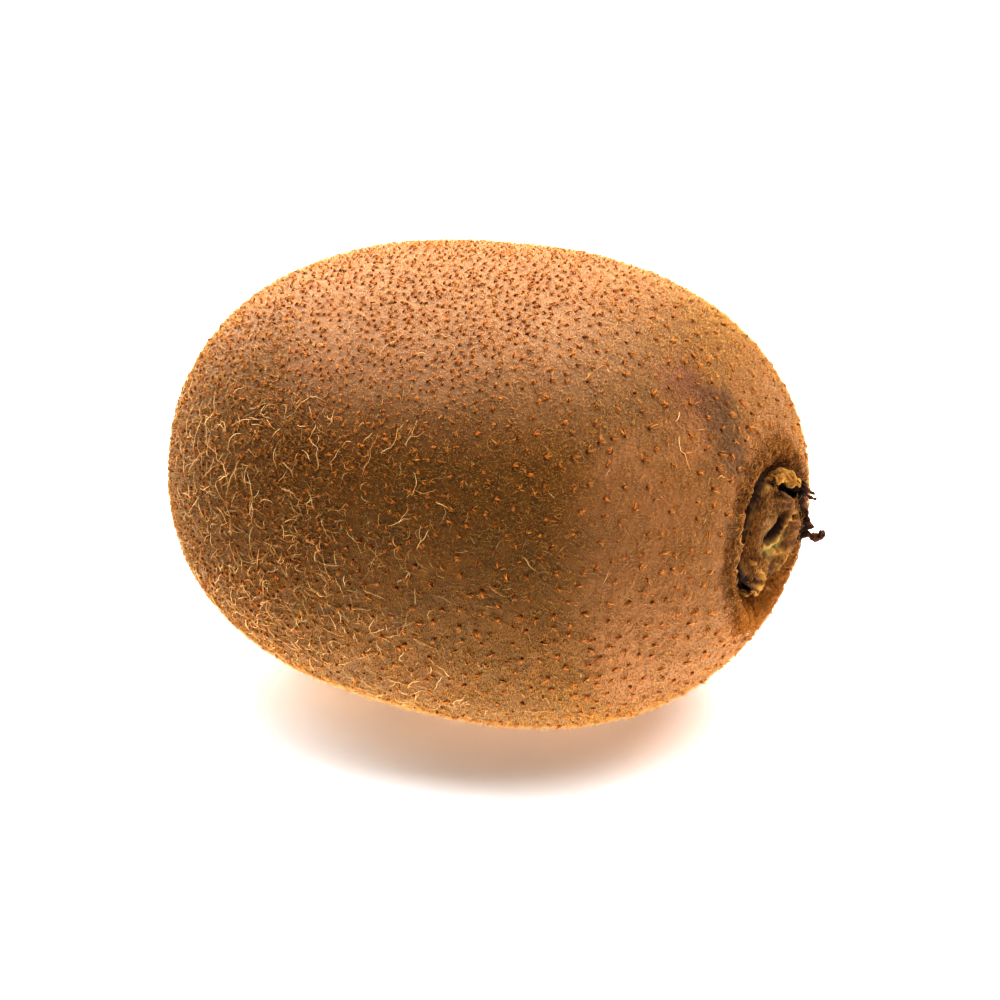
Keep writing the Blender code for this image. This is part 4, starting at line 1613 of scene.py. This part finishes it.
def surround():
    """Plain white for the camera; for the fruit, a dim light that is dark at the camera's side."""
    stage = bpy.context.scene.kiwi_stage
    world = bpy.data.worlds.new("light_tent")
    bpy.context.scene.world = world
    world.use_nodes = True
    tree = world.node_tree
    tree.nodes.clear()
    nodes = Nodes(tree)
    seen = nodes.add("ShaderNodeBackground", {"Color": (1.0, 1.0, 1.0, 1.0), "Strength": 1.08})
    way = nodes.add("ShaderNodeTexCoord").outputs["Generated"]
    front = (math.sin(stage.azimuth), -math.cos(stage.azimuth), 0.0)
    facing = nodes.add("ShaderNodeVectorMath", {0: way, 1: front}, operation="DOT_PRODUCT")
    level = nodes.span(facing.outputs["Value"], -0.4, 0.7, stage.surround, 0.0)
    lit = nodes.add("ShaderNodeBackground", {"Color": (1.0, 0.97, 0.93, 1.0), "Strength": level})
    direct = nodes.add("ShaderNodeLightPath").outputs["Is Camera Ray"]
    both = nodes.add("ShaderNodeMixShader", {0: direct, 1: lit.outputs[0], 2: seen.outputs[0]})
    output = nodes.add("ShaderNodeOutputWorld")
    tree.links.new(both.outputs[0], output.inputs[0])


def white_floor():
    """The white table, which gives off a little light itself."""
    stage = bpy.context.scene.kiwi_stage
    half = 0.5 * stage.floor_size
    mesh = bpy.data.meshes.new("floor")
    corners = [(-half, -half, 0), (half, -half, 0), (half, half, 0), (-half, half, 0)]
    mesh.from_pydata(corners, [], [(0, 1, 2, 3)])
    floor = bpy.data.objects.new("floor", mesh)
    bpy.context.scene.collection.objects.link(floor)
    made, nodes, shader = new_material("floor_white", 0.8, specular=0.2)
    paper = nodes.noise(nodes.place(), 60.0)
    tint = nodes.mix(paper, opaque(stage.floor), opaque([0.985 * part for part in stage.floor]))
    nodes.tree.links.new(tint, shader.inputs["Base Color"])
    shader.inputs["Emission Color"].default_value = opaque(FLOOR_SHINE)
    shader.inputs["Emission Strength"].default_value = stage.floor_glow
    mesh.materials.append(made)


def set_camera(middle):
    """Looks at the fruit from its side and from above."""
    scene = bpy.context.scene
    stage = scene.kiwi_stage
    back = facing_out(stage.azimuth, stage.elevation)
    right = Vector((math.cos(stage.azimuth), math.sin(stage.azimuth), 0.0))
    up = back.cross(right)
    lens = bpy.data.cameras.new("camera")
    lens.lens, lens.sensor_width = stage.lens, 36.0
    lens.clip_start, lens.clip_end = 0.01, 20.0
    camera = bpy.data.objects.new("camera", lens)
    scene.collection.objects.link(camera)
    camera.location = middle + back * stage.distance - right * stage.aim_left - up * stage.aim_low
    camera.rotation_euler = (-back).to_track_quat("-Z", "Y").to_euler()
    scene.camera = camera


def build_stage():
    """The white table, the softboxes round it and the camera."""
    scene = bpy.context.scene
    stage = scene.kiwi_stage
    white_floor()
    surround()
    middle = fruit_middle()
    for name, turn, height, size in SOFTBOXES:
        place = middle + SOFTBOX_AWAY * facing_out(math.radians(turn), math.radians(height))
        softbox(name, place, middle, (size, size), getattr(stage, name))
    below = Vector((8.0 * MM, 0.0, 0.4 * MM))
    upward = below + Vector((0, 0, 1))
    glow = softbox("table_glow", below, upward, (0.110, 0.095), stage.table_glow)
    glow.data.shape = "ELLIPSE"
    set_camera(middle)
    scene.view_settings.view_transform = "Standard"
    scene.view_settings.gamma = stage.print_contrast


# The add-on


class KIWI_OT_set_stage(bpy.types.Operator):
    """Sets the white floor, the softboxes and the camera"""

    bl_idname = "kiwi.set_stage"
    bl_label = "Set the stage"

    def execute(self, context):
        build_stage()
        return {"FINISHED"}


class KIWI_OT_build_skin(bpy.types.Operator):
    """Builds the uneven skin with its hollows"""

    bl_idname = "kiwi.build_skin"
    bl_label = "Build the skin"

    def execute(self, context):
        build_skin()
        return {"FINISHED"}


class KIWI_OT_grow_specks(bpy.types.Operator):
    """Strews the rusty specks over the skin"""

    bl_idname = "kiwi.grow_specks"
    bl_label = "Grow the specks"

    def execute(self, context):
        grow_specks()
        return {"FINISHED"}


class KIWI_OT_grow_felt(bpy.types.Operator):
    """Grows the felt of short hairs and the longer hairs in it"""

    bl_idname = "kiwi.grow_felt"
    bl_label = "Grow the felt"

    def execute(self, context):
        grow_felt()
        return {"FINISHED"}


class KIWI_OT_lay_stray_hairs(bpy.types.Operator):
    """Lays the loose kinked hairs on the felt"""

    bl_idname = "kiwi.lay_stray_hairs"
    bl_label = "Lay the stray hairs"

    def execute(self, context):
        lay_stray_hairs()
        return {"FINISHED"}


class KIWI_OT_build_button(bpy.types.Operator):
    """Builds the cracked woody stem button"""

    bl_idname = "kiwi.build_button"
    bl_label = "Build the stem button"

    def execute(self, context):
        build_button()
        return {"FINISHED"}


class KIWI_OT_build_sepals(bpy.types.Operator):
    """Builds the four torn dry sepals"""

    bl_idname = "kiwi.build_sepals"
    bl_label = "Build the sepals"

    def execute(self, context):
        build_sepals()
        return {"FINISHED"}


class KIWI_OT_fuzz_stem_end(bpy.types.Operator):
    """Grows the curly hairs in and round the stem hollow"""

    bl_idname = "kiwi.fuzz_stem_end"
    bl_label = "Fuzz the stem end"

    def execute(self, context):
        fuzz_stem_end()
        return {"FINISHED"}


class KIWI_OT_build_tuft(bpy.types.Operator):
    """Builds the dried styles at the blossom end"""

    bl_idname = "kiwi.build_tuft"
    bl_label = "Build the blossom tuft"

    def execute(self, context):
        build_tuft()
        return {"FINISHED"}


OPERATORS = (
    KIWI_OT_set_stage, KIWI_OT_build_skin, KIWI_OT_grow_specks, KIWI_OT_grow_felt,
    KIWI_OT_lay_stray_hairs, KIWI_OT_build_button, KIWI_OT_build_sepals,
    KIWI_OT_fuzz_stem_end, KIWI_OT_build_tuft,
)
SETTINGS = {
    "kiwi_shape": KiwiShape, "kiwi_skin": KiwiSkinLook, "kiwi_felt": KiwiFelt,
    "kiwi_stem": KiwiStemLook, "kiwi_stage": KiwiStage,
}


class KIWI_PT_maker(bpy.types.Panel):
    """Lists the steps that build the kiwi fruit, and its settings"""

    bl_label = "Kiwi fruit"
    bl_space_type = "VIEW_3D"
    bl_region_type = "UI"
    bl_category = "Kiwi"

    def draw(self, context):
        steps = self.layout.column(align=True)
        for step in OPERATORS:
            steps.operator(step.bl_idname)
        for name, group in SETTINGS.items():
            box = self.layout.box()
            box.label(text=group.__doc__)
            settings = getattr(context.scene, name)
            for key in group.__annotations__:
                box.prop(settings, key)


def register():
    for group in (*SETTINGS.values(), *OPERATORS, KIWI_PT_maker):
        bpy.utils.register_class(group)
    for name, group in SETTINGS.items():
        setattr(bpy.types.Scene, name, PointerProperty(type=group))


def unregister():
    for name in SETTINGS:
        delattr(bpy.types.Scene, name)
    for group in (KIWI_PT_maker, *reversed(OPERATORS), *SETTINGS.values()):
        bpy.utils.unregister_class(group)


def main():
    register()
    for step in OPERATORS:
        getattr(bpy.ops.kiwi, step.bl_idname.split(".")[1])()


if __name__ == "__main__":
    main()
